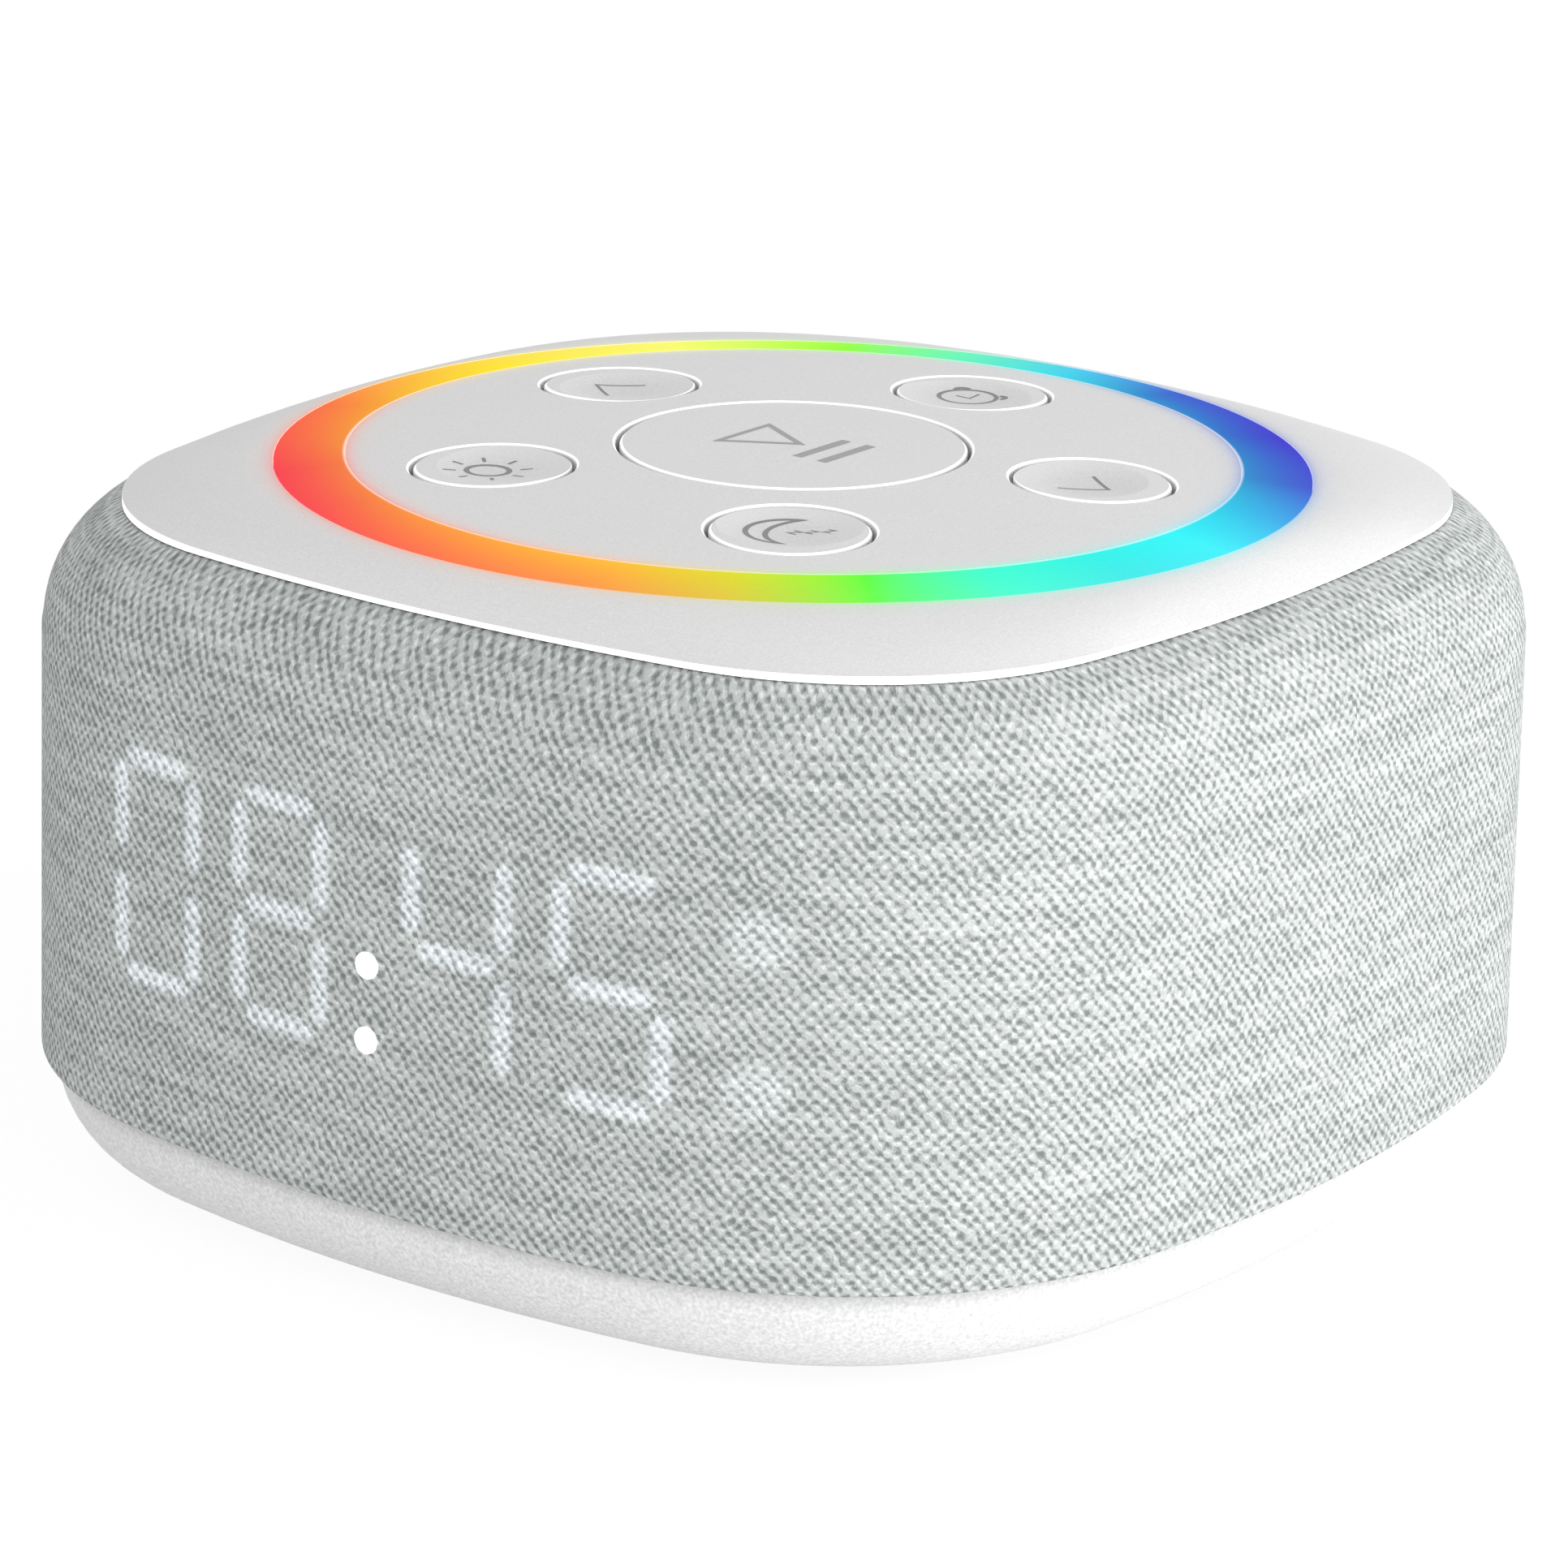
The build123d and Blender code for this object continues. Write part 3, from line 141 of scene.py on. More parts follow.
class Nodes:
    """The nodes of one material, or of the world."""

    SEEN_RAYS = ("Camera", "Glossy", "Transmission")

    def __init__(self, name: str, kind: str = "materials") -> None:
        """Starts an empty material of that name, or a world where the kind is worlds."""
        self.owner = getattr(bpy.data, kind).new(name)
        self.owner.use_nodes = True
        self.tree = self.owner.node_tree
        self.tree.nodes.clear()

    def add(
        self, kind: str, settings: dict[str, object] | None = None, inputs: dict | None = None
    ) -> Node:
        """Adds a node.

        Args:
            kind: The node's type.
            settings: Its own settings. Stops gives a colour ramp's list of place and colour.
            inputs: What each socket, by name or number, takes: a value, a socket or a Value.

        Returns:
            The node.
        """
        node = self.tree.nodes.new(kind)
        for key, setting in (settings or {}).items():
            if key == "stops":
                self._set_stops(node.color_ramp, setting)
            else:
                setattr(node, key, setting)
        for key, source in (inputs or {}).items():
            source = source.socket if isinstance(source, Value) else source
            if isinstance(source, NodeSocket):
                self.tree.links.new(source, node.inputs[key])
            else:
                node.inputs[key].default_value = source
        return node

    @staticmethod
    def _set_stops(ramp: ColorRamp, stops: Sequence[tuple[float, Color]]) -> None:
        """Gives a colour ramp its stops, in order of place."""
        while len(ramp.elements) < len(stops):
            ramp.elements.new(1.0)
        for element, (place, color) in zip(ramp.elements, stops):
            element.position = place
            element.color = (*color, 1.0)

    def seen(self) -> Value:
        """1 for what the eye sees, straight, in a gloss or through glass, and 0 for soft light."""
        rays = self.add("ShaderNodeLightPath").outputs
        straight, gloss, glass = (Value(self, rays[f"Is {kind} Ray"]) for kind in self.SEEN_RAYS)
        return (straight + gloss + glass).math("MINIMUM", 1.0)

    def place(self) -> NodeSocket:
        """The point's place in the frame, in metres."""
        return self.add("ShaderNodeTexCoord").outputs["Object"]

    def split(self, vector: NodeSocket) -> tuple[Value, Value, Value]:
        """The three parts of a vector."""
        node = self.add("ShaderNodeSeparateXYZ", None, {0: vector})
        return tuple(Value(self, node.outputs[i]) for i in range(3))

    def join(self, x: Value | float, y: Value | float, z: Value | float) -> NodeSocket:
        """A vector from its three parts."""
        return self.add("ShaderNodeCombineXYZ", None, {0: x, 1: y, 2: z}).outputs[0]

    def noise(self, vector: NodeSocket, size: float, detail: float = 2.0) -> Value:
        """Soft noise from 0 to 1, with features of about the given size in the vector's units."""
        inputs = {"Vector": vector, "Scale": 1 / size, "Detail": detail}
        return Value(self, self.add("ShaderNodeTexNoise", None, inputs).outputs[0])

    def mix(self, share: Value | float, first: object, second: object, way: str = "MIX") -> NodeSocket:
        """Mixes two colours.

        Args:
            share: How much of the second there is, from 0 to 1.
            first: A colour or a socket.
            second: A colour or a socket.
            way: The Mix node's way of blending.

        Returns:
            The mixed colour.
        """
        settings = {"data_type": "RGBA", "blend_type": way}
        inputs = {0: share, 6: self._rgba(first), 7: self._rgba(second)}
        return self.add("ShaderNodeMix", settings, inputs).outputs[2]

    def scale(self, color: object, factor: Value) -> NodeSocket:
        """Makes a colour brighter or darker by a factor that varies."""
        return self.mix(1.0, color, self.join(factor, factor, factor), "MULTIPLY")

    def plus(self, first: object, second: object) -> NodeSocket:
        """Adds two colours."""
        return self.mix(1.0, first, second, "ADD")

    @staticmethod
    def _rgba(color: object) -> object:
        """A plain colour as the four numbers that a socket takes, and a socket as it is."""
        return (*color, 1.0) if isinstance(color, tuple) else color

    def bump(self, height: Value, distance: float, strength: float = 1.0) -> NodeSocket:
        """The normal of a surface with a relief.

        Args:
            height: The relief, as a share of the distance.
            distance: The relief's depth in metres.
            strength: How much of the relief shows.

        Returns:
            The normal.
        """
        inputs = {"Height": height, "Distance": distance, "Strength": strength}
        return self.add("ShaderNodeBump", None, inputs).outputs[0]

    def surface(self, **sockets: object) -> Material:
        """Ends the material in a Principled shader.

        Args:
            sockets: What its sockets take. Their names have underscores for spaces.

        Returns:
            The material.
        """
        inputs = {key.replace("_", " "): self._rgba(source) for key, source in sockets.items()}
        if "Emission Color" in inputs:
            inputs["Emission Strength"] = 1.0
        shader = self.add("ShaderNodeBsdfPrincipled", None, inputs)
        self.add("ShaderNodeOutputMaterial", None, {0: shader.outputs[0]})
        return self.owner


# ---- the light ring's colours


class Hue(Enum):
    """Colours round the light ring: the angle from +X in degrees, and the colour."""

    AQUA = (0, srgb(66, 244, 250))
    SKY = (15, srgb(64, 186, 234))
    AZURE = (30, srgb(68, 118, 208))
    INDIGO = (52, srgb(68, 94, 205))
    COBALT = (75, srgb(66, 124, 208))
    CYAN = (90, srgb(76, 212, 238))
    MINT = (105, srgb(110, 246, 188))
    LIME = (120, srgb(152, 254, 68))
    LEMON = (142, srgb(250, 251, 116))
    GOLD = (168, srgb(253, 225, 64))
    ORANGE = (195, srgb(248, 142, 68))
    CORAL = (226, srgb(246, 98, 80))
    SALMON = (243, srgb(248, 108, 79))
    TANGERINE = (262, srgb(253, 136, 76))
    APRICOT = (285, srgb(255, 172, 70))
    CHARTREUSE = (300, srgb(224, 214, 64))
    GREEN = (315, srgb(106, 255, 76))
    SPRING = (330, srgb(76, 254, 212))
    TURQUOISE = (345, srgb(66, 238, 232))

    @classmethod
    def stops(cls) -> list[tuple[float, Color]]:
        """The stops of a colour ramp that goes once round, and ends as it starts."""
        first = cls.AQUA.value[1]
        return [(degrees / 360, color) for degrees, color in (hue.value for hue in cls)] + [(1.0, first)]


@dataclass(frozen=True)
class RingLight:
    """The light ring's glow, as it looks on the ring and on the white plastic beside it."""

    inner: float
    outer: float
    halo_reach: float = 0.55 * MM
    halo_strength: float = 0.6

    def hue(self, nodes: Nodes) -> NodeSocket:
        """The colour of the glow at a point, by its angle."""
        x, y, _ = nodes.split(nodes.place())
        turn = (y.math("ARCTAN2", x) / math.tau + 1.0).math("FRACT")
        return nodes.add("ShaderNodeValToRGB", {"stops": Hue.stops()}, {0: turn}).outputs[0]

    def radius(self, nodes: Nodes) -> Value:
        """The point's distance from the axis of the ring."""
        x, y, _ = nodes.split(nodes.place())
        return (x * x + y * y) ** 0.5

    def halo(self, nodes: Nodes) -> Value:
        """How much of its light leaks into the plastic beside it, from 0 to 1."""
        middle = (self.inner + self.outer) / 2
        beyond = abs(self.radius(nodes) - middle) - (self.outer - self.inner) / 2
        near = (beyond.math("MAXIMUM", 0.0) / -self.halo_reach).math("EXPONENT")
        return near * self.halo_strength


# ---- finishes


@dataclass(frozen=True)
class Dome:
    """The shallow dome that the panel and the buttons' tops lie on."""

    crown: float = 54.5 * MM
    radius: float = 619.19 * MM

    def height(self, from_axis: float) -> float:
        """Its height at a distance from the axis of the machine."""
        return self.crown - self.radius + math.sqrt(self.radius**2 - from_axis**2)

    def depth(self, nodes: Nodes) -> Value:
        """How far a point lies below it."""
        x, y, z = nodes.split(nodes.place())
        return self.crown - (x * x + y * y) / (2 * self.radius) - z


@dataclass(frozen=True)
class PaintedEdgeHighlight:
    """A painted highlight on edges, found by the upward part of their normals: a lighter colour and a glow
    stand in for the light they catch.
    """

    low: float
    high: float
    depth: float | None = None
    fade: float = 0.1
    depth_fade: float = 0.02 * MM
    dome: Dome = Dome()

    def share(self, nodes: Nodes) -> Value:
        """Where the painted highlight lies: within its band of normals and, if it has a depth, above that.
        """
        _, _, upward = nodes.split(nodes.add("ShaderNodeNewGeometry").outputs["Normal"])
        band = upward.ramp(self.low - self.fade, self.low) * upward.ramp(self.high + self.fade, self.high)
        if self.depth is None:
            return band
        return band * self.dome.depth(nodes).ramp(self.depth + self.depth_fade, self.depth)


@dataclass(frozen=True)
class DishShade:
    """Painted shade in the hollows of the five small buttons, darker towards each middle; the buttons are
    evenly spaced round a circle.
    """

    circle_radius: float = 22.92 * MM
    count: int = 5
    first: float = math.radians(18)
    radius: float = 5.0 * MM
    dark_radius: float = 1.5 * MM
    darkness: float = 0.07

    def shade(self, nodes: Nodes) -> Value:
        """How much the painted shade darkens a point, from 0 to the darkness."""
        x, y, _ = nodes.split(nodes.place())
        step = math.tau / self.count
        turns = (y.math("ARCTAN2", x) - self.first) / step + 0.5 + self.count
        angle = (turns.math("FRACT") - 0.5) * step
        from_axis = (x * x + y * y) ** 0.5
        along = from_axis * angle.math("COSINE") - self.circle_radius
        across = from_axis * angle.math("SINE")
        from_middle = (along * along + across * across) ** 0.5
        return from_middle.ramp(self.radius, self.dark_radius) * self.darkness


@dataclass(frozen=True)
class WhitePlastic:
    """Fine-grained white plastic, plus whatever the part has of painted shadow below the sleeve, painted
    edge highlight, painted dish shade and painted ring glow.
    """

    name: str
    color: Color = (0.84, 0.84, 0.84)
    roughness: float = 0.55
    grain: float = 0.17 * MM
    speckle: float = 0.32
    cloud_in_grains: float = 60.0
    cloudiness: float = 0.03
    relief: float = 0.012 * MM
    sleeve_shadow_top: float | None = None
    sleeve_shadow_reach: float = 1.8 * MM
    sleeve_shadow_darkness: float = 0.3
    edge_highlight: PaintedEdgeHighlight | None = None
    highlight_color: Color = (0.95, 0.95, 0.95)
    highlight_glow: Color = (0.5, 0.5, 0.5)
    dish_shade: DishShade | None = None
    dish_shade_speckle: float = 4.0
    light: RingLight | None = None

    def material(self) -> Material:
        """Makes the material.

        Returns:
            A material for a moulded part.
        """
        nodes = Nodes(self.name)
        place = nodes.place()
        fine = nodes.noise(place, self.grain, 3.0)
        cloud = nodes.noise(place, self.cloud_in_grains * self.grain, 2.0)
        shade = fine.vary(1.0, self.speckle) + cloud.vary(0.0, self.cloudiness)
        # painted shadow on the base, darker just below the sleeve's edge
        if self.sleeve_shadow_top:
            _, _, height = nodes.split(place)
            shade = shade * (1.0 - height.ramp(self.sleeve_shadow_top - self.sleeve_shadow_reach, self.sleeve_shadow_top) * self.sleeve_shadow_darkness)
        # painted shade in the buttons' dishes, with a speckle within it
        if self.dish_shade:
            hollow = self.dish_shade.shade(nodes)
            shade = shade * (1.0 - hollow) + fine.vary(0.0, self.dish_shade_speckle) * hollow
        color = nodes.scale(self.color, shade)
        glow: object = (0.0, 0.0, 0.0)
        # painted highlight on the edges: a lighter colour and a glow
        if self.edge_highlight:
            edge_highlight = self.edge_highlight.share(nodes)
            color = nodes.mix(edge_highlight, color, self.highlight_color)
            glow = nodes.scale(self.highlight_glow, edge_highlight)
        # the ring's painted glow on the white plastic beside it, which also dims its colour there
        if self.light:
            share = self.light.halo(nodes)
            color = nodes.scale(color, 1.0 - share)
            glow = nodes.plus(glow, nodes.scale(self.light.hue(nodes), share))
        return nodes.surface(
            Base_Color=color,
            Roughness=fine.vary(self.roughness, 0.1),
            Normal=nodes.bump(fine, self.relief, 0.6),
            Emission_Color=glow,
        )


@dataclass(frozen=True)
class LitDiffuser:
    """The light ring's milky plastic, lit from behind."""

    light: RingLight
    shift: float = 0.6
    blush: float = 0.03
    rim: float = 0.05
    rim_white: float = 0.6
    grain: float = 0.4 * MM

    def material(self) -> Material:
        """Makes the material: rose and violet gain at the outer edge, orange and sky at the inner.

        Returns:
            A glowing material.
        """
        nodes = Nodes("lit_diffuser")
        across = (self.light.radius(nodes) - self.light.inner) / (self.light.outer - self.light.inner)
        cloud = nodes.noise(nodes.place(), self.grain, 3.0)
        outward = across - 0.5
        red, green, blue = nodes.split(self.light.hue(nodes))
        rose = outward * self.blush
        shifted = nodes.join(red + rose, green ** (outward * self.shift + 1.0), blue + rose)
        hue = nodes.mix(across.ramp(self.rim, 0.0) * self.rim_white, shifted, (1.0, 1.0, 1.0))
        return nodes.surface(
            Base_Color=nodes.scale(hue, cloud.vary(0.05, 0.04)),
            Roughness=cloud.vary(0.55, 0.1),
            Specular_IOR_Level=0.0,
            Emission_Color=nodes.scale(hue, cloud.vary(0.98, 0.03)),
        )


@dataclass(frozen=True)
class Layer:
    """One kind of unevenness in the cloth: noise in millimetres, and what it does to the look.

    Along and across are how much of the cloth's length the noise passes in a millimetre, along a
    row and up, and skew leans it. The rest is how strongly it moves, opens, adds painted highlight,
    tones, lights or raises things.
    """

    size: float
    detail: float
    seed: float
    along: float = 1.0
    across: float = 1.0
    skew: float = 0.0
    shift: float = 0.0
    hollow: float = 0.0
    painted_highlight: float = 0.0
    tone: float = 0.0
    glow: float = 0.0
    height: float = 0.0

    def over(self, nodes: Nodes, around: Value, up: Value) -> Value:
        """The noise at a point of the cloth, about 0."""
        place = nodes.join(around * self.along + up * self.skew, up * self.across, self.seed)
        return nodes.noise(place, self.size, self.detail) - 0.5


@dataclass(frozen=True)
class Knit:
    """The sleeve's cloth: a close knit with small staggered hollows, lit from behind by the clock."""

    map_name: str
    glow_name: str
    pitch: float = 1.05
    course: float = 1.03
    lean: float = 0.09
    stretch_start: float = 38.0
    stretch: float = 0.0316
    plate_shade: tuple[float, float, float] = (45.5, 47.0, 0.35)
    bias: float = 0.6
    weave: float = 0.5
    rows: float = 0.05
    hollow_ramp: tuple[float, float] = (-0.28, 0.76)
    painted_highlight_ramp: tuple[float, float] = (0.0, 0.5)
    painted_highlight_tone: float = 0.34
    yarn: Color = (0.600, 0.627, 0.615)
    shadow: Color = (0.200, 0.225, 0.217)
    lit_yarn: Color = (0.285, 0.30, 0.335)
    lit_shadow: Color = (0.09, 0.10, 0.12)
    relief: float = 0.16 * MM
    sway: Layer = Layer(1.5, 3.0, seed=0.0, shift=1.1)
    drift: Layer = Layer(1.7, 3.0, seed=7.0, shift=0.9)
    lay: Layer = Layer(2.4, 2.0, seed=29.0, shift=0.5)
    stitch: Layer = Layer(0.55, 2.0, seed=3.0, hollow=1.1, painted_highlight=0.9, glow=1.4, height=0.5)
    fibre: Layer = Layer(
        0.30, 4.0, 5.0, 1.0, 0.8, 0.6, hollow=1.5, painted_highlight=2.0, tone=0.3, glow=1.4, height=0.4
    )
    fuzz: Layer = Layer(0.11, 2.0, seed=17.0, hollow=0.8, tone=0.55)
    streak: Layer = Layer(0.60, 3.0, seed=11.0, along=0.07, hollow=-0.5, tone=0.38)
    slub: Layer = Layer(2.1, 2.0, seed=23.0, along=0.06, tone=0.22)

    def lattice(self, nodes: Nodes, around: Value, up: Value) -> tuple[Value, Value]:
        """The regular part of the knit.

        Args:
            nodes: The material's nodes.
            around: Millimetres round the cloth.
            up: Millimetres up the cloth.

        Returns:
            A value that is high in the hollows, and one that is high on one side of each, for the painted
            highlight on the yarn there.
        """
        sway, drift, lay = (
            layer.over(nodes, around, up) * layer.shift for layer in (self.sway, self.drift, self.lay)
        )
        column = (around + sway) / self.pitch - up * self.lean
        row = (up + drift) / self.course
        rising, falling = (column + row) * math.tau, (column - row) * math.tau
        bias = lay + self.bias
        hollows = rising.math("COSINE") * bias + falling.math("COSINE") * (1.0 - bias)
        # painted highlight: high on one side of each hollow, as if lit from one way
        painted_highlights = falling.math("SINE") * (1.0 - bias) - rising.math("SINE") * bias
        return hollows + (row * (2 * math.tau)).math("COSINE") * self.rows, painted_highlights

    def material(self) -> Material:
        """Makes the material.

        Returns:
            A material that follows the cloth's own two directions.
        """
        nodes = Nodes("knit_cloth")
        flat = nodes.add("ShaderNodeUVMap", {"uv_map": self.map_name}).outputs[0]
        around, along, _ = nodes.split(flat)
        excess = (along - self.stretch_start).math("MAXIMUM", 0.0)
        up = along - excess * excess * self.stretch
        layers = (self.stitch, self.fibre, self.fuzz, self.streak, self.slub)
        noises = [(layer, layer.over(nodes, around, up)) for layer in layers]

        def uneven(start: Value | float, effect: str) -> Value:
            """Adds what every layer of noise does to one part of the look."""
            for layer, noise in noises:
                strength = getattr(layer, effect)
                start = noise * strength + start if strength else start
            return start

        hollows, painted_highlights = self.lattice(nodes, around, up)
        hollow = uneven(hollows * self.weave, "hollow").ramp(*self.hollow_ramp)
        # painted highlight on the yarn beside the hollows, which brightens the tone
        painted_highlight = uneven(painted_highlights * self.weave, "painted_highlight").ramp(*self.painted_highlight_ramp)
        # painted shade on the cloth just under the plate's edge
        start, end, darkness = self.plate_shade
        tone = uneven(painted_highlight * self.painted_highlight_tone - along.ramp(start, end) * darkness + 1.0, "tone")
        light = nodes.add("ShaderNodeAttribute", {"attribute_name": self.glow_name}).outputs["Fac"]
        glow = nodes.mix(hollow, self.lit_yarn, self.lit_shadow)
        return nodes.surface(
            Base_Color=nodes.scale(nodes.mix(hollow, self.yarn, self.shadow), tone),
            Roughness=1.0 - hollow * 0.1,
            Specular_IOR_Level=0.15,
            Normal=nodes.bump(uneven(hollow * -1.0, "height"), self.relief, 0.75),
            Emission_Color=nodes.scale(glow, uneven(1.0, "glow") * Value(nodes, light)),
        )


@dataclass(frozen=True)
class Lens:
    """Clear plastic lit from behind."""

    color: Color = (0.9, 0.9, 0.9)
    glow: Color = (1.0, 1.0, 1.0)
    grain: float = 0.3 * MM

    def material(self) -> Material:
        """Makes the material.

        Returns:
            An even white light with a faint cloudiness.
        """
        nodes = Nodes("lit_lens")
        cloud = nodes.noise(nodes.place(), self.grain)
        return nodes.surface(
            Base_Color=nodes.scale(self.color, cloud.vary(0.95, 0.1)),
            Roughness=cloud.vary(0.25, 0.1),
            Emission_Color=nodes.scale(self.glow, cloud.vary(1.0, 0.04)),
        )


@dataclass(frozen=True)
class Plain:
    """A finish of one colour with the unevenness of its material, for ink and for hidden parts."""

    name: str
    color: Color
    roughness: float
    metallic: float = 0.0
    grain: float = 0.5 * MM
    variation: float = 0.25
    detail: float = 4.0
    stretch: tuple[float, float, float] = (1.0, 1.0, 1.0)
    relief: float | None = 0.02 * MM

    def material(self) -> Material:
        """Makes the material.

        Returns:
            A material with uneven colour and roughness, and relief where it has one.
        """
        nodes = Nodes(self.name)
        place = nodes.add("ShaderNodeMapping", None, {"Vector": nodes.place(), "Scale": self.stretch})
        uneven = nodes.noise(place.outputs[0], self.grain, self.detail)
        raised = {"Normal": nodes.bump(uneven, self.relief, 0.5)} if self.relief else {}
        return nodes.surface(
            Base_Color=nodes.scale(self.color, uneven.vary(1.0, self.variation)),
            Roughness=uneven.vary(self.roughness, 0.2),
            Metallic=self.metallic,
            **raised,
        )


def printed_ink(name: str, color: Color) -> Plain:
    """Flat printed ink, a little uneven."""
    return Plain(name, color, 0.6, grain=0.12 * MM, variation=0.3, detail=3.0, relief=None)


# ---- meshes


def grid_object(
    name: str,
    rows: Sequence[Sequence[Vector]],
    materials: Iterable[Material],
    wraps: bool = False,
) -> Object:
    """Joins rows of points into a mesh of quads.

    Args:
        name: The object's name.
        rows: Rows with the same number of points, each row a closed loop.
        materials: The object's materials.
        wraps: Whether the last row is joined to the first.

    Returns:
        The object, smooth and linked to the scene.
    """
    mesh = bpy.data.meshes.new(name)
    build = bmesh.new()
    grid = [[build.verts.new(point) for point in row] for row in rows]
    pairs = list(zip(grid, grid[1:])) + ([(grid[-1], grid[0])] if wraps else [])
    for low, high in pairs:
        for i in range(len(low)):
            j = (i + 1) % len(low)
            build.faces.new((low[i], low[j], high[j], high[i])).smooth = True
    build.to_mesh(mesh)
    build.free()
    return linked(name, mesh, materials)


def linked(name: str, mesh: Mesh, materials: Iterable[Material]) -> Object:
    """Links an object with that mesh and those materials to the scene."""
    for material in materials:
        mesh.materials.append(material)
    piece = bpy.data.objects.new(name, mesh)
    bpy.context.scene.collection.objects.link(piece)
    return piece


def divided(stops: Sequence[float], steps: Sequence[float]) -> Iterator[float]:
    """Places along a line, from its first stop to just before its last, with a step for each run."""
    for start, end, step in zip(stops, stops[1:], steps):
        count = max(1, round((end - start) / step))
        yield from (start + (end - start) * i / count for i in range(count))


@dataclass(frozen=True)
class Outline:
    """The body's shape from above: four bowed sides and round corners, all arcs tangent."""

    half_width: float = 50.0 * MM
    corner_radius: float = 32.0 * MM
    side_radius: float = 136.4 * MM

    @property
    def side_place(self) -> float:
        """Where the centre of a side's arc lies, on the far side of the origin."""
        return self.half_width - self.side_radius

    @property
    def corner_place(self) -> float:
        """The x and y of the centre of a corner's arc."""
        reach = self.side_radius - self.corner_radius
        return (self.side_place + math.sqrt(2 * reach**2 - self.side_place**2)) / 2

    @property
    def turn(self) -> float:
        """Half the angle of a side's arc."""
        return math.atan2(self.corner_place, self.corner_place - self.side_place)

    @property
    def half_side(self) -> float:
        """Half the length of a side's arc."""
        return self.side_radius * self.turn

    @property
    def quarter(self) -> float:
        """The length from the middle of one side to the middle of the next."""
        return 2 * self.half_side + self.corner_radius * (math.pi / 2 - 2 * self.turn)

    def point(self, travel: float, inset: float) -> Point:
        """A point on the outline, moved in.

        Args:
            travel: How far along the outline, counterclockwise from the middle of the +X side.
            inset: How far the point is moved in.

        Returns:
            Its x and y.
        """
        quarters, rest = divmod(travel, self.quarter)
        if rest < self.half_side:
            centre, radius, angle = (self.side_place, 0.0), self.side_radius, rest / self.side_radius
        elif rest < self.quarter - self.half_side:
            centre, radius = (self.corner_place, self.corner_place), self.corner_radius
            angle = self.turn + (rest - self.half_side) / self.corner_radius
        else:
            centre, radius = (0.0, self.side_place), self.side_radius
            angle = math.pi / 2 - (self.quarter - rest) / self.side_radius
        x = centre[0] + (radius - inset) * math.cos(angle)
        y = centre[1] + (radius - inset) * math.sin(angle)
        for _ in range(int(quarters) % 4):
            x, y = -y, x
        return x, y


# ---- the clock


class Bar(Enum):
    """The bars of a seven-bar digit: the middle as shares of half the size, and the direction."""

    TOP = (0, 1, "across")
    MIDDLE = (0, 0, "across")
    BOTTOM = (0, -1, "across")
    UPPER_LEFT = (-1, 0.5, "upright")
    UPPER_RIGHT = (1, 0.5, "upright")
    LOWER_LEFT = (-1, -0.5, "upright")
    LOWER_RIGHT = (1, -0.5, "upright")


DIGIT_BARS = {
    "0": set(Bar) - {Bar.MIDDLE},
    "4": {Bar.UPPER_LEFT, Bar.UPPER_RIGHT, Bar.MIDDLE, Bar.LOWER_RIGHT},
    "5": {Bar.TOP, Bar.UPPER_LEFT, Bar.MIDDLE, Bar.LOWER_RIGHT, Bar.BOTTOM},
    "8": set(Bar),
}


@dataclass
class Clock:
    """The clock's lit bars and the two faint indicators, as they shine through the cloth."""

    digits: str = "0845"
    places: tuple[float, ...] = (-19.6 * MM, -7.1 * MM, 8.7 * MM, 20.95 * MM)
    middle: float = 29.1 * MM
    width: float = 7.75 * MM
    height: float = 16.1 * MM
    stroke: float = 1.5 * MM
    corner_gap: float = 0.45 * MM
    middle_gap: float = 0.85 * MM
    softness: float = 0.45 * MM
    indicator_place: float = 31.1 * MM
    indicator_heights: tuple[float, ...] = (34.2 * MM, 23.6 * MM)
    indicator_radius: float = 2.0 * MM
    indicator_share: float = 0.5

    @cached_property
    def bars(self) -> list[tuple[float, float, float, bool]]:
        """The lit bars: middle x and z, half length, and whether the bar is upright."""
        found = []
        for digit, place in zip(self.digits, self.places):
            for bar in Bar:
                if bar not in DIGIT_BARS[digit]:
                    continue
                side, rise, way = bar.value
                upright = way == "upright"
                x = place + side * self.width / 2
                z = self.middle + rise * self.height / 2
                half = self.width / 2 - self.corner_gap
                if upright:
                    z += math.copysign((self.middle_gap - self.corner_gap) / 2, rise)
                    half = (self.height / 2 - self.middle_gap - self.corner_gap) / 2
                found.append((x, z, half, upright))
        return found

    def light(self, x: float, z: float) -> float:
        """How brightly the clock lights the cloth at a point of the front.

        Args:
            x: The point's x.
            z: The point's height.

        Returns:
            From 0 to 1.
        """
        best = 0.0
        for middle_x, middle_z, half, upright in self.bars:
            across, along = abs(x - middle_x), abs(z - middle_z)
            if not upright:
                across, along = along, across
            past = max(across - self.stroke / 2, along + across - half)
            best = max(best, min(1.0, 0.5 - past / self.softness))
        for height in self.indicator_heights:
            past = math.hypot(x - self.indicator_place, z - height) - self.indicator_radius
            best = max(best, self.indicator_share * min(1.0, 0.5 - past / (2 * self.softness)))
        return best


# ---- the sleeve


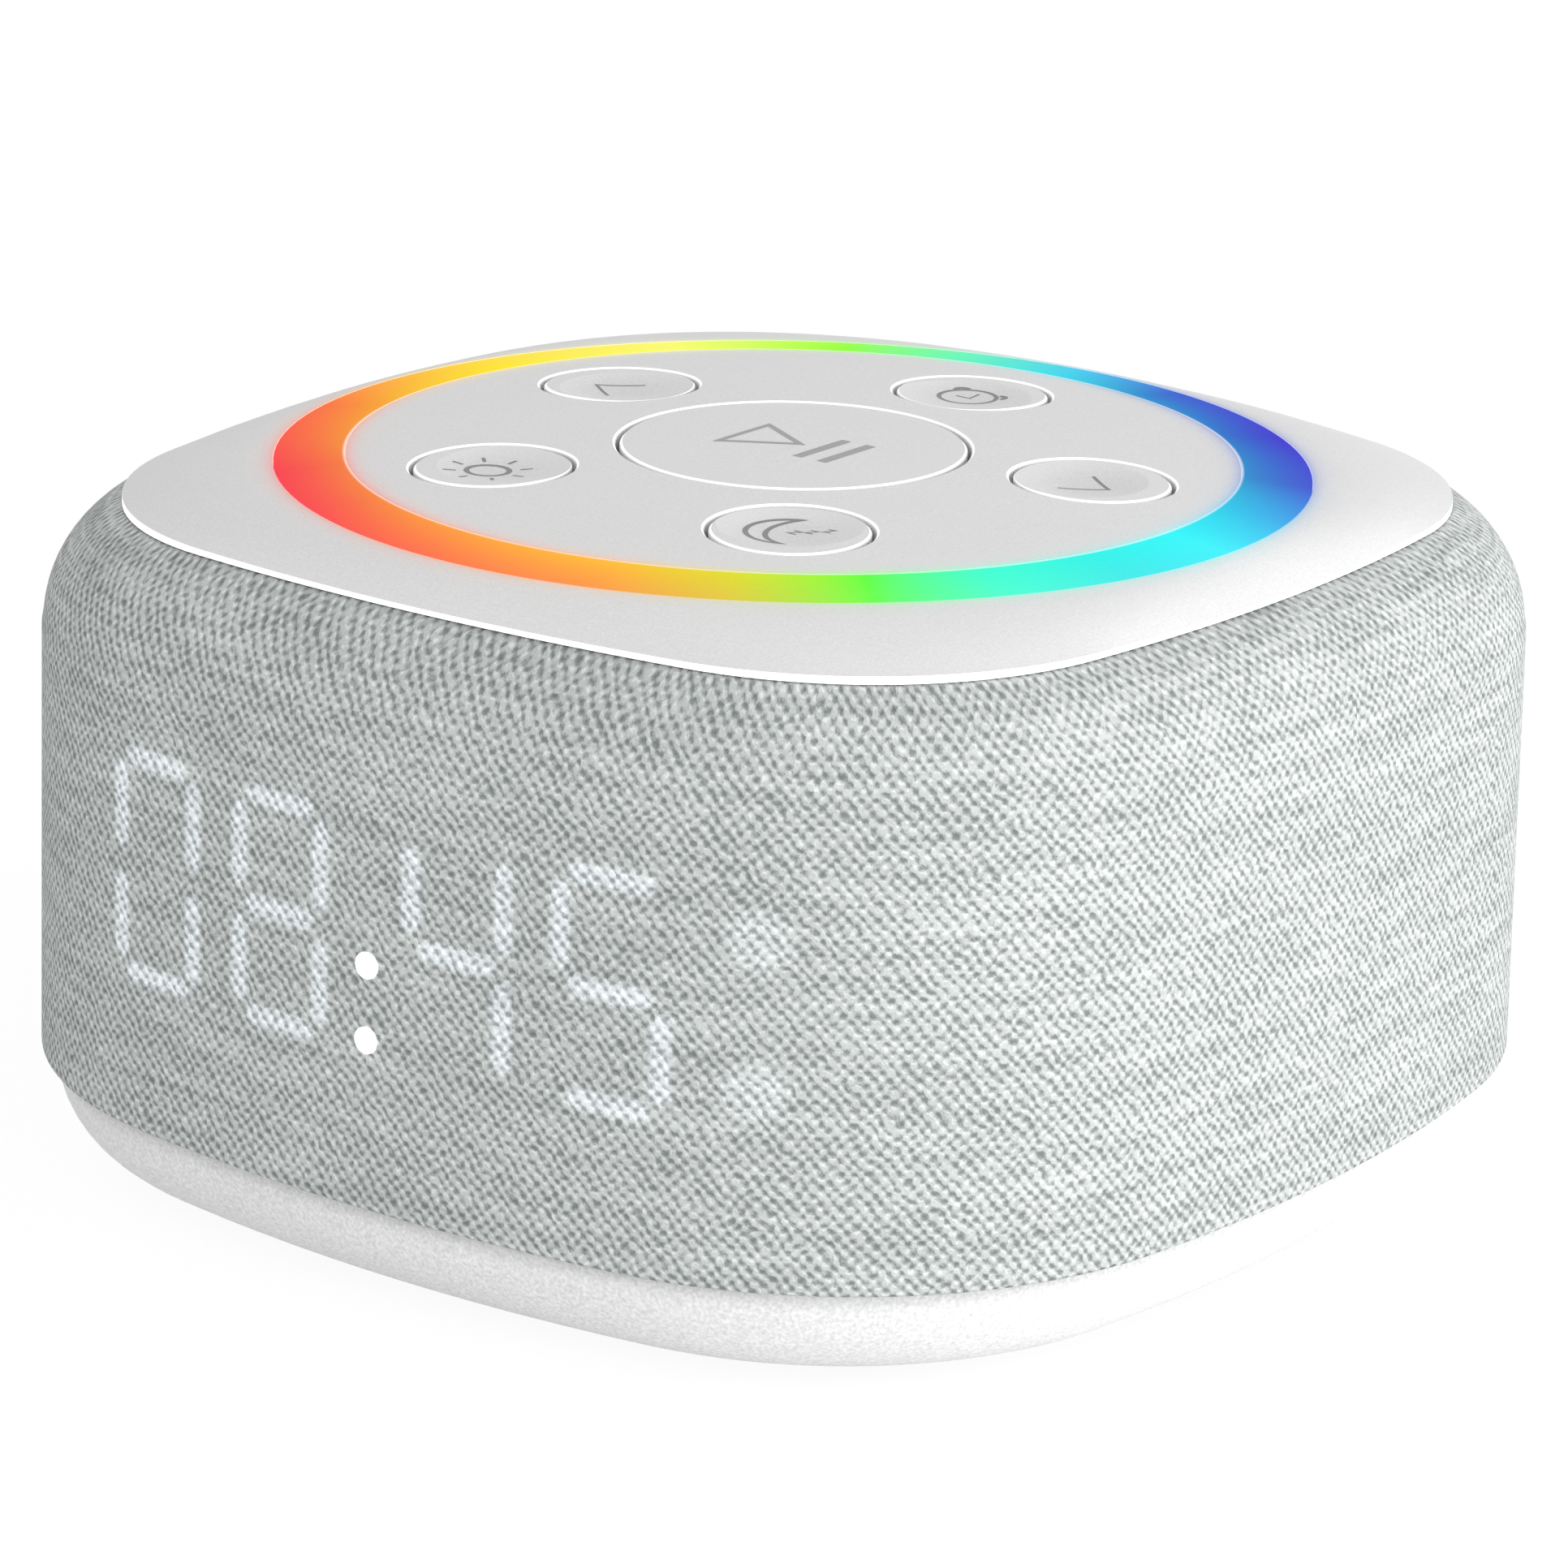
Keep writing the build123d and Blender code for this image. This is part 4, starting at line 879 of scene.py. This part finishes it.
@dataclass
class Sleeve:
    """The knitted sleeve: one sheet of cloth stretched over the frame, hemmed under both edges."""

    outline: Outline = field(default_factory=Outline)
    clock: Clock = field(default_factory=Clock)
    bottom: float = 9.0 * MM
    top: float = 51.18 * MM
    shoulder: float = 9.65 * MM
    draft: float = math.radians(0.64)
    thickness: float = 0.8 * MM
    hem: float = 2.6 * MM
    hem_roll: float = 0.35 * MM
    opening: float = 8.6 * MM
    step: float = 1.3 * MM
    fine_step: float = 0.3 * MM
    roll_steps: int = 4
    shoulder_steps: int = 16
    fine_left: float = -30.0 * MM
    fine_right: float = 37.0 * MM
    fine_low: float = 19.0 * MM
    fine_high: float = 39.0 * MM
    map_name: str = "knit"
    glow_name: str = "clock_light"

    def travels(self) -> list[float]:
        """Places along the outline, closer together where the clock shines through."""
        front = 3 * self.outline.quarter
        whole = 4 * self.outline.quarter
        stops = (0.0, front + self.fine_left, front + self.fine_right, whole)
        return list(divided(stops, (self.step, self.fine_step, self.step)))

    def side(self, offset: float) -> list[Point]:
        """The sleeve's section, from its lower hem up to the opening: inset and height.

        Args:
            offset: How far the section is moved in from the cloth's outer face.

        Returns:
            The points, from the lower hem's free edge up.
        """
        centre_z = self.top - self.shoulder
        centre_inset = (self.top - self.bottom) * math.tan(self.draft) + self.shoulder
        roll = self.hem_roll
        points = [(self.hem, self.bottom + offset)]
        for i in range(self.roll_steps + 1):
            angle = math.pi / 2 * i / self.roll_steps
            reach = roll * (1 - math.sin(angle)), roll * (1 - math.cos(angle))
            points.append((reach[0] + offset, self.bottom + reach[1] + offset))
        stops = (self.bottom + roll, self.fine_low, self.fine_high, centre_z)
        heights = (*divided(stops, (self.step, self.fine_step, self.step)), centre_z)
        for z in heights[1:]:
            points.append(((z - self.bottom) * math.tan(self.draft) + offset, max(z, points[-1][1])))
        radius = self.shoulder - offset
        end = math.acos((centre_inset - self.opening) / self.shoulder)
        for i in range(1, self.shoulder_steps + 1):
            angle = end * i / self.shoulder_steps
            points.append((centre_inset - radius * math.cos(angle), centre_z + radius * math.sin(angle)))
        return points

    def build(self) -> Object:
        """Builds the cloth, maps it in millimetres and marks where the clock lights it.

        Returns:
            The sleeve.
        """
        outer, inner = self.side(0.0), self.side(self.thickness)
        section = outer + inner[::-1]
        travels = self.travels()
        rows = [
            [Vector((*self.outline.point(travel, inset), z)) for travel in travels]
            for inset, z in section
        ]
        knit = Knit(self.map_name, self.glow_name).material()
        piece = grid_object("sleeve_cloth", rows, [knit], wraps=True)
        self._map(piece.data, travels, section)
        self._light(piece.data, len(travels), len(outer))
        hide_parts("fabric_sleeve")
        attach(piece, "housing")
        return piece

    def _map(self, mesh: Mesh, travels: list[float], section: list[Point]) -> None:
        """Gives each corner of each face its millimetres round and up the cloth."""
        lengths = [0.0]
        for here, there in zip(section, section[1:]):
            lengths.append(lengths[-1] + math.dist(here, there))
        columns = len(travels)
        whole = 4 * self.outline.quarter
        layer = mesh.uv_layers.new(name=self.map_name)
        for face in mesh.polygons:
            first = min(mesh.loops[i].vertex_index % columns for i in face.loop_indices)
            wraps = first == 0 and any(
                mesh.loops[i].vertex_index % columns == columns - 1 for i in face.loop_indices
            )
            for i in face.loop_indices:
                row, column = divmod(mesh.loops[i].vertex_index, columns)
                travel = whole if wraps and column == 0 else travels[column]
                layer.data[i].uv = travel / MM, lengths[row] / MM

    def _light(self, mesh: Mesh, columns: int, outer_rows: int) -> None:
        """Marks how brightly the clock lights each point of the cloth's outer face."""
        glow = mesh.attributes.new(self.glow_name, "FLOAT", "POINT")
        for vertex in mesh.vertices[: columns * outer_rows]:
            x, y, z = vertex.co
            if y < 0 and self.fine_low <= z <= self.fine_high:
                glow.data[vertex.index].value = max(0.0, self.clock.light(x, z))


# ---- printed symbols


@dataclass(frozen=True)
class Stroke:
    """A printed line of even width, through points in millimetres."""

    points: tuple[Point, ...]
    width: float = 0.3
    closed: bool = False

    def sides(self) -> tuple[list[Point], list[Point]]:
        """The line's two edges."""
        count = len(self.points)
        left, right = [], []
        for i, (x, y) in enumerate(self.points):
            before = self.points[i - 1] if self.closed or i else self.points[0]
            after = self.points[(i + 1) % count] if self.closed or i < count - 1 else self.points[-1]
            first, second = Vector((x - before[0], y - before[1])), Vector((after[0] - x, after[1] - y))
            first, second = (v.normalized() if v.length else v for v in (first, second))
            along = (first + second).normalized()
            across = Vector((-along.y, along.x))
            reach = self.width / 2 / max(0.4, along.dot(second if second.length else first))
            left.append((x + across.x * reach, y + across.y * reach))
            right.append((x - across.x * reach, y - across.y * reach))
        return left, right


def arc(x: float, y: float, radius: float, start: float, end: float) -> tuple[Point, ...]:
    """Points on an arc.

    Args:
        x: The centre's x.
        y: The centre's y.
        radius: The radius.
        start: The first point's angle in degrees.
        end: The last point's angle in degrees.

    Returns:
        The points, in order.
    """
    count = max(4, round(abs(end - start) * radius / 12))
    angles = (math.radians(start + (end - start) * i / count) for i in range(count + 1))
    return tuple((x + radius * math.cos(a), y + radius * math.sin(a)) for a in angles)


def line(*points: Point) -> tuple[Point, ...]:
    """Points along straight runs, close enough together to follow a curved cap."""
    found = [points[0]]
    for (x0, y0), (x1, y1) in zip(points, points[1:]):
        count = max(1, round(math.dist((x0, y0), (x1, y1)) / 0.5))
        found += [(x0 + (x1 - x0) * i / count, y0 + (y1 - y0) * i / count) for i in range(1, count + 1)]
    return tuple(found)


def ring_stroke(x: float, y: float, radius: float, width: float) -> Stroke:
    """A printed circle."""
    return Stroke(arc(x, y, radius, 0, 360)[:-1], width, closed=True)


def sun() -> list[Stroke]:
    """A sun for the lamp: a circle and eight rays."""
    rays = []
    for i in range(8):
        way = math.radians(45 * i)
        rays.append(Stroke(line(*((r * math.cos(way), r * math.sin(way)) for r in (2.35, 3.3))), 0.28))
    return [ring_stroke(0, 0, 1.57, 0.42), *rays]


def moon() -> list[Stroke]:
    """A crescent moon and three small letters for sleep."""
    x, y, radius, inner_radius, tilt, half_turn = 0.0, 0.6, 3.2, 3.75, 23, 91
    outer = arc(x, y, radius, 180 + tilt - half_turn, 180 + tilt + half_turn)
    spread = math.degrees(math.asin(radius * math.sin(math.radians(half_turn)) / inner_radius))
    away = inner_radius * math.cos(math.radians(spread)) - radius * math.cos(math.radians(half_turn))
    centre = x + away * math.cos(math.radians(tilt)), y + away * math.sin(math.radians(tilt))
    inner = arc(*centre, inner_radius, 180 + tilt + spread, 180 + tilt - spread)
    letters = []
    for x, y, size in ((0.05, 1.05, 0.74), (0.98, 1.8, 0.68), (1.95, 2.6, 0.62)):
        half = size / 2
        corners = [(x + across * half, y + up * half) for up in (1, -1) for across in (-1, 1)]
        letters.append(Stroke(line(*corners), 0.17))
    return [Stroke(outer + inner[1:-1], 0.4, closed=True), *letters]


def alarm_clock() -> list[Stroke]:
    """A small clock with two bells and hands."""
    bells = [Stroke(arc(2.3 * math.cos(a), 2.3 * math.sin(a), 0.55, b, b + 150), 0.46)
             for a, b in ((math.radians(135), 60), (math.radians(37), 322))]
    hands = Stroke(line((-1.1, 0.0), (0.15, 0.0), (0.0, 1.5)), 0.22)
    return [ring_stroke(-0.1, 0.1, 2.2, 0.36), *bells, hands]


def chevron(way: int) -> list[Stroke]:
    """An arrowhead that points right for 1 and left for -1."""
    return [Stroke(line((-1.1 * way, 2.3), (1.82 * way, 0.0), (-1.1 * way, -2.3)), 0.28)]


def play_and_pause() -> list[Stroke]:
    """A triangle and two bars."""
    triangle = line((-4.6, 3.1), (0.6, 0.0), (-4.6, -3.1))
    bars = [Stroke(line((x, 3.1), (x, -3.1)), 0.85) for x in (2.6, 4.8)]
    return [Stroke(triangle[:-1] + line((-4.6, -3.1), (-4.6, 3.1))[:-1], 0.5, closed=True), *bars]


@dataclass
class Buttons:
    """The printed symbols on the six buttons."""

    circle_radius: float = 22.92 * MM
    dish_depth: float = 0.4 * MM
    dish_half_width: float = 5.28 * MM
    dome: Dome = Dome()
    symbol_shift: Point = (-0.1, -0.42)
    lift: float = 0.012 * MM
    small_ink: Plain = printed_ink("symbol_ink", srgb(138, 138, 138))
    centre_ink: Plain = printed_ink("centre_symbol_ink", srgb(172, 170, 171))

    def symbols(self) -> dict[str, tuple[float | None, list[Stroke]]]:
        """Each button's angle on its circle, or None for the centre one, and its symbol."""
        return {
            "next": (18, chevron(1)),
            "alarm": (90, alarm_clock()),
            "previous": (162, chevron(-1)),
            "lamp": (234, sun()),
            "sleep": (306, moon()),
            "centre": (None, play_and_pause()),
        }

    def height(self, x: float, y: float, from_middle: float | None) -> float:
        """The height of a button's top.

        Args:
            x: The point's x.
            y: The point's y.
            from_middle: The point's distance from the middle of a dished cap, if the cap has a dish.

        Returns:
            The height in the frame.
        """
        dome = self.dome.height(math.hypot(x, y))
        if from_middle is None:
            return dome
        bowl = (self.dish_half_width**2 + self.dish_depth**2) / (2 * self.dish_depth)
        lowest = self.dome.height(self.circle_radius) - self.dish_depth
        return min(dome, lowest + bowl - math.sqrt(bowl**2 - from_middle**2))

    def print_symbol(
        self, name: str, angle: float | None, strokes: list[Stroke], ink: Material
    ) -> Object:
        """Prints one symbol on its cap.

        Args:
            name: The button's name.
            angle: Its angle on the circle of small buttons, or None for the centre one.
            strokes: The symbol's lines.
            ink: The ink's material.

        Returns:
            The thin printed piece.
        """
        way = math.radians(angle or 0)
        from_axis = 0.0 if angle is None else self.circle_radius
        middle = from_axis * Vector((math.cos(way), math.sin(way)))
        mesh = bpy.data.meshes.new(f"{name}_symbol")
        build = bmesh.new()
        for stroke in strokes:
            edges = [
                [self._on_cap(build, middle, point, angle is not None) for point in side]
                for side in stroke.sides()
            ]
            count = len(edges[0])
            for i in range(count if stroke.closed else count - 1):
                j = (i + 1) % count
                build.faces.new((edges[0][i], edges[1][i], edges[1][j], edges[0][j])).smooth = True
        bmesh.ops.recalc_face_normals(build, faces=build.faces)
        if sum(face.normal.z for face in build.faces) < 0:
            bmesh.ops.reverse_faces(build, faces=build.faces)
        build.to_mesh(mesh)
        build.free()
        piece = linked(f"{name}_symbol", mesh, [ink])
        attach(piece, f"{name}_key")
        return piece

    def _on_cap(
        self, build: BMesh, middle: Vector, point: Point, dished: bool
    ) -> BMVert:
        """Adds a point of a symbol, just above the cap's surface."""
        if dished:
            point = point[0] + self.symbol_shift[0], point[1] + self.symbol_shift[1]
        x, y = middle.x + point[0] * MM, middle.y + point[1] * MM
        z = self.height(x, y, math.hypot(*point) * MM if dished else None)
        return build.verts.new((x, y, z + self.lift))

    def build(self) -> list[Object]:
        """Prints every symbol.

        Returns:
            The printed pieces.
        """
        small, centre = self.small_ink.material(), self.centre_ink.material()
        return [
            self.print_symbol(name, angle, strokes, centre if angle is None else small)
            for name, (angle, strokes) in self.symbols().items()
        ]


# ---- the shells and what is inside


@dataclass
class Shells:
    """The plastic parts outside and everything inside, with their finishes."""

    light: RingLight = RingLight(inner=33.0 * MM, outer=38.22 * MM)

    def finishes(self) -> dict[str, Material]:
        """The material of each of the record's slots, or of a node where it has its own."""
        # painted highlight on the chamfered edges of the panel, the buttons and the other white parts
        rim = PaintedEdgeHighlight(0.55, 0.86, depth=0.12 * MM)
        white = WhitePlastic("white_plastic", edge_highlight=rim)
        # the small buttons, with painted shade in their dishes
        dished = WhitePlastic("cap_plastic", edge_highlight=rim, dish_shade=DishShade()).material()
        plain = [
            Plain("frame_plastic", (0.045, 0.047, 0.05), 0.55, grain=0.3 * MM),
            Plain("light_guide", (0.85, 0.88, 0.9), 0.25, variation=0.1),
            Plain("foot_rubber", (0.12, 0.12, 0.125), 0.8, grain=0.25 * MM, relief=0.05 * MM),
            Plain("gasket_foam", (0.03, 0.03, 0.03), 0.95, grain=0.35 * MM, relief=0.1 * MM),
            Plain("surround_rubber", (0.02, 0.02, 0.02), 0.6),
            Plain("spider_cloth", (0.42, 0.24, 0.07), 0.9, grain=0.3 * MM, variation=0.5),
            Plain("screw_steel", (0.55, 0.55, 0.53), 0.35, 1.0, 0.2 * MM),
            Plain("circuit_board", (0.02, 0.12, 0.05), 0.4, grain=0.8 * MM, variation=0.4),
            Plain("led_package", (0.85, 0.8, 0.45), 0.4),
            Plain("switch_plastic", (0.02, 0.02, 0.022), 0.5),
            Plain("dome_steel", (0.6, 0.6, 0.58), 0.25, 1.0),
            Plain("plug_plastic", (0.75, 0.7, 0.55), 0.5),
            Plain("socket_steel", (0.62, 0.62, 0.6), 0.3, 1.0, stretch=(1.0, 6.0, 1.0)),
            Plain("cell_steel", (0.66, 0.65, 0.62), 0.25, 1.0, stretch=(8.0, 1.0, 1.0)),
            Plain("basket_steel", (0.05, 0.05, 0.055), 0.45, grain=0.4 * MM),
            Plain("magnet_ferrite", (0.035, 0.035, 0.037), 0.7, grain=0.6 * MM, relief=0.06 * MM),
            Plain("cone_paper", (0.05, 0.05, 0.05), 0.95, grain=0.7 * MM, variation=0.5, relief=0.08 * MM),
            Plain("coil_copper", (0.6, 0.27, 0.11), 0.3, 1.0, stretch=(1.0, 1.0, 12.0)),
            Plain("cable_jacket", (0.6, 0.6, 0.6), 0.5),
        ]
        lit = WhitePlastic("panel_plastic", edge_highlight=rim, light=self.light)
        # the plate, with a painted highlight on its outer edge wall
        plate = WhitePlastic("plate_plastic", edge_highlight=PaintedEdgeHighlight(-0.2, 0.4), light=self.light)
        # the base, with painted shadow just below the sleeve's edge
        rolled = WhitePlastic("base_plastic", grain=0.28 * MM, speckle=0.8, sleeve_shadow_top=9.0 * MM)
        small_caps = ("next", "alarm", "previous", "lamp", "sleep")
        return {
            **{finish.name: finish.material() for finish in plain},
            "white_plastic": white.material(),
            "light_diffuser": LitDiffuser(self.light).material(),
            "top_plate": plate.material(),
            **{f"{name}_button": dished for name in small_caps},
            "control_panel": lit.material(),
            "base_shell": rolled.material(),
            "colon_lenses": Lens().material(),
        }

    def dress(self) -> None:
        """Gives every node of the frame its finish, but leaves the nodes of the knit slot as they are."""
        finishes = self.finishes()
        slots = {part["node"]: part["material_slot"] for part in frame["record"]["subparts"]}
        for name, node in frame["nodes"].items():
            if slots[name] == "knit_fabric":
                continue
            material = finishes.get(name) or finishes[slots[name]]
            node.data.materials.clear()
            node.data.materials.append(material)
        LOG.info("dressed %d nodes of the frame", len(frame["nodes"]))


# ---- studio


@dataclass
class Lamp:
    """A soft rectangular lamp that points at the middle of the machine."""

    name: str
    direction: tuple[float, float, float]
    distance: float
    size: float
    power: float

    def build(self, target: Vector) -> Object:
        """Places the lamp.

        Args:
            target: The point that it faces.

        Returns:
            The lamp.
        """
        data = bpy.data.lights.new(self.name, "AREA")
        data.energy = self.power
        data.size = self.size
        lamp = bpy.data.objects.new(self.name, data)
        way = Vector(self.direction).normalized()
        lamp.location = target + way * self.distance
        lamp.rotation_mode = "QUATERNION"
        lamp.rotation_quaternion = (-way).to_track_quat("-Z", "Y")
        bpy.context.scene.collection.objects.link(lamp)
        return lamp


@dataclass
class Studio:
    """The camera, the lamps, the floor and the white surroundings."""

    azimuth: float = math.radians(36.246)
    elevation: float = math.radians(17.316)
    roll: float = math.radians(-1.3753)
    depth: float = 480.78 * MM
    crown: float = 54.5 * MM
    image_width: float = 1932.0
    focal_pixels: float = 8041.67
    crown_pixel: Point = (977.96, 545.37)
    sensor: float = 36.0
    ambient: float = 0.63
    floor_size: float = 4.0
    floor_gap: float = 0.02 * MM
    floor_glow: float = 0.87
    floor_white: float = 1.055
    lamps: tuple[Lamp, ...] = (
        Lamp("right_lamp", (0.95, -0.30, 0.12), 1.2, 0.6, 5.5),
        Lamp("rear_lamp", (0.85, 0.50, 0.15), 1.2, 0.6, 8.0),
        Lamp("front_lamp", (0.50, -0.85, 0.15), 1.2, 0.6, 2.8),
    )

    def camera(self) -> Object:
        """Places the camera so that the crown of the panel falls on its pixel.

        Returns:
            The camera.
        """
        sin_a, cos_a = math.sin(self.azimuth), math.cos(self.azimuth)
        sin_e, cos_e = math.sin(self.elevation), math.cos(self.elevation)
        back = Vector((sin_a * cos_e, -cos_a * cos_e, sin_e))
        right = Vector((cos_a, sin_a, 0))
        up = back.cross(right)
        turned_right = right * math.cos(self.roll) - up * math.sin(self.roll)
        turned_up = right * math.sin(self.roll) + up * math.cos(self.roll)
        middle = self.image_width / 2
        aside = (self.crown_pixel[0] - middle) / self.focal_pixels * self.depth
        above = (middle - self.crown_pixel[1]) / self.focal_pixels * self.depth
        place = Vector((0, 0, self.crown)) + back * self.depth - turned_right * aside - turned_up * above
        data = bpy.data.cameras.new("camera")
        data.sensor_width = self.sensor
        data.lens = self.focal_pixels / self.image_width * self.sensor
        data.clip_start = 0.01
        camera = bpy.data.objects.new("camera", data)
        axes = Matrix((turned_right, turned_up, back)).transposed()
        camera.matrix_world = Matrix.Translation(place) @ axes.to_4x4()
        bpy.context.scene.collection.objects.link(camera)
        bpy.context.scene.camera = camera
        return camera

    def floor(self) -> Object:
        """Lays a pale floor that keeps a soft shadow.

        Returns:
            The floor.
        """
        half = self.floor_size / 2
        mesh = bpy.data.meshes.new("floor")
        build = bmesh.new()
        bmesh.ops.create_grid(build, x_segments=1, y_segments=1, size=half)
        build.to_mesh(mesh)
        build.free()
        nodes = Nodes("floor_paper")
        tone = nodes.noise(nodes.place(), 0.2).vary(0.91, 0.02)
        paper = nodes.add("ShaderNodeBsdfDiffuse", None, {0: nodes.join(tone, tone, tone)})
        glow = {"Color": (1.0, 1.0, 1.0, 1.0), "Strength": self.floor_white}
        white = nodes.add("ShaderNodeEmission", None, glow)
        inputs = {0: nodes.seen() * self.floor_glow, 1: paper.outputs[0], 2: white.outputs[0]}
        mixed = nodes.add("ShaderNodeMixShader", None, inputs)
        nodes.add("ShaderNodeOutputMaterial", None, {0: mixed.outputs[0]})
        piece = linked("floor", mesh, [nodes.owner])
        piece.location.z = -self.floor_gap
        return piece

    def surroundings(self) -> None:
        """Makes the world white to the eye and soft grey as a light."""
        nodes = Nodes("surroundings", "worlds")
        strength = nodes.seen() * (1.0 - self.ambient) + self.ambient
        inputs = {"Color": (1.0, 1.0, 1.0, 1.0), "Strength": strength}
        sky = nodes.add("ShaderNodeBackground", None, inputs)
        nodes.add("ShaderNodeOutputWorld", None, {0: sky.outputs[0]})
        bpy.context.scene.world = nodes.owner

    def build(self) -> None:
        """Sets up everything round the machine."""
        self.camera()
        self.floor()
        self.surroundings()
        for lamp in self.lamps:
            lamp.build(Vector((0, 0, self.crown / 2)))
        bpy.context.scene.view_settings.view_transform = "Standard"


def main() -> None:
    """Builds the scene and reports each piece."""
    logging.basicConfig(level=logging.INFO, format="%(message)s")
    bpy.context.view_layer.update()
    Shells().dress()
    pieces = [Sleeve().build(), *Buttons().build()]
    Studio().build()
    for piece in pieces:
        LOG.info("built %s with %d faces", piece.name, len(piece.data.polygons))


if __name__ == "__main__":
    main()
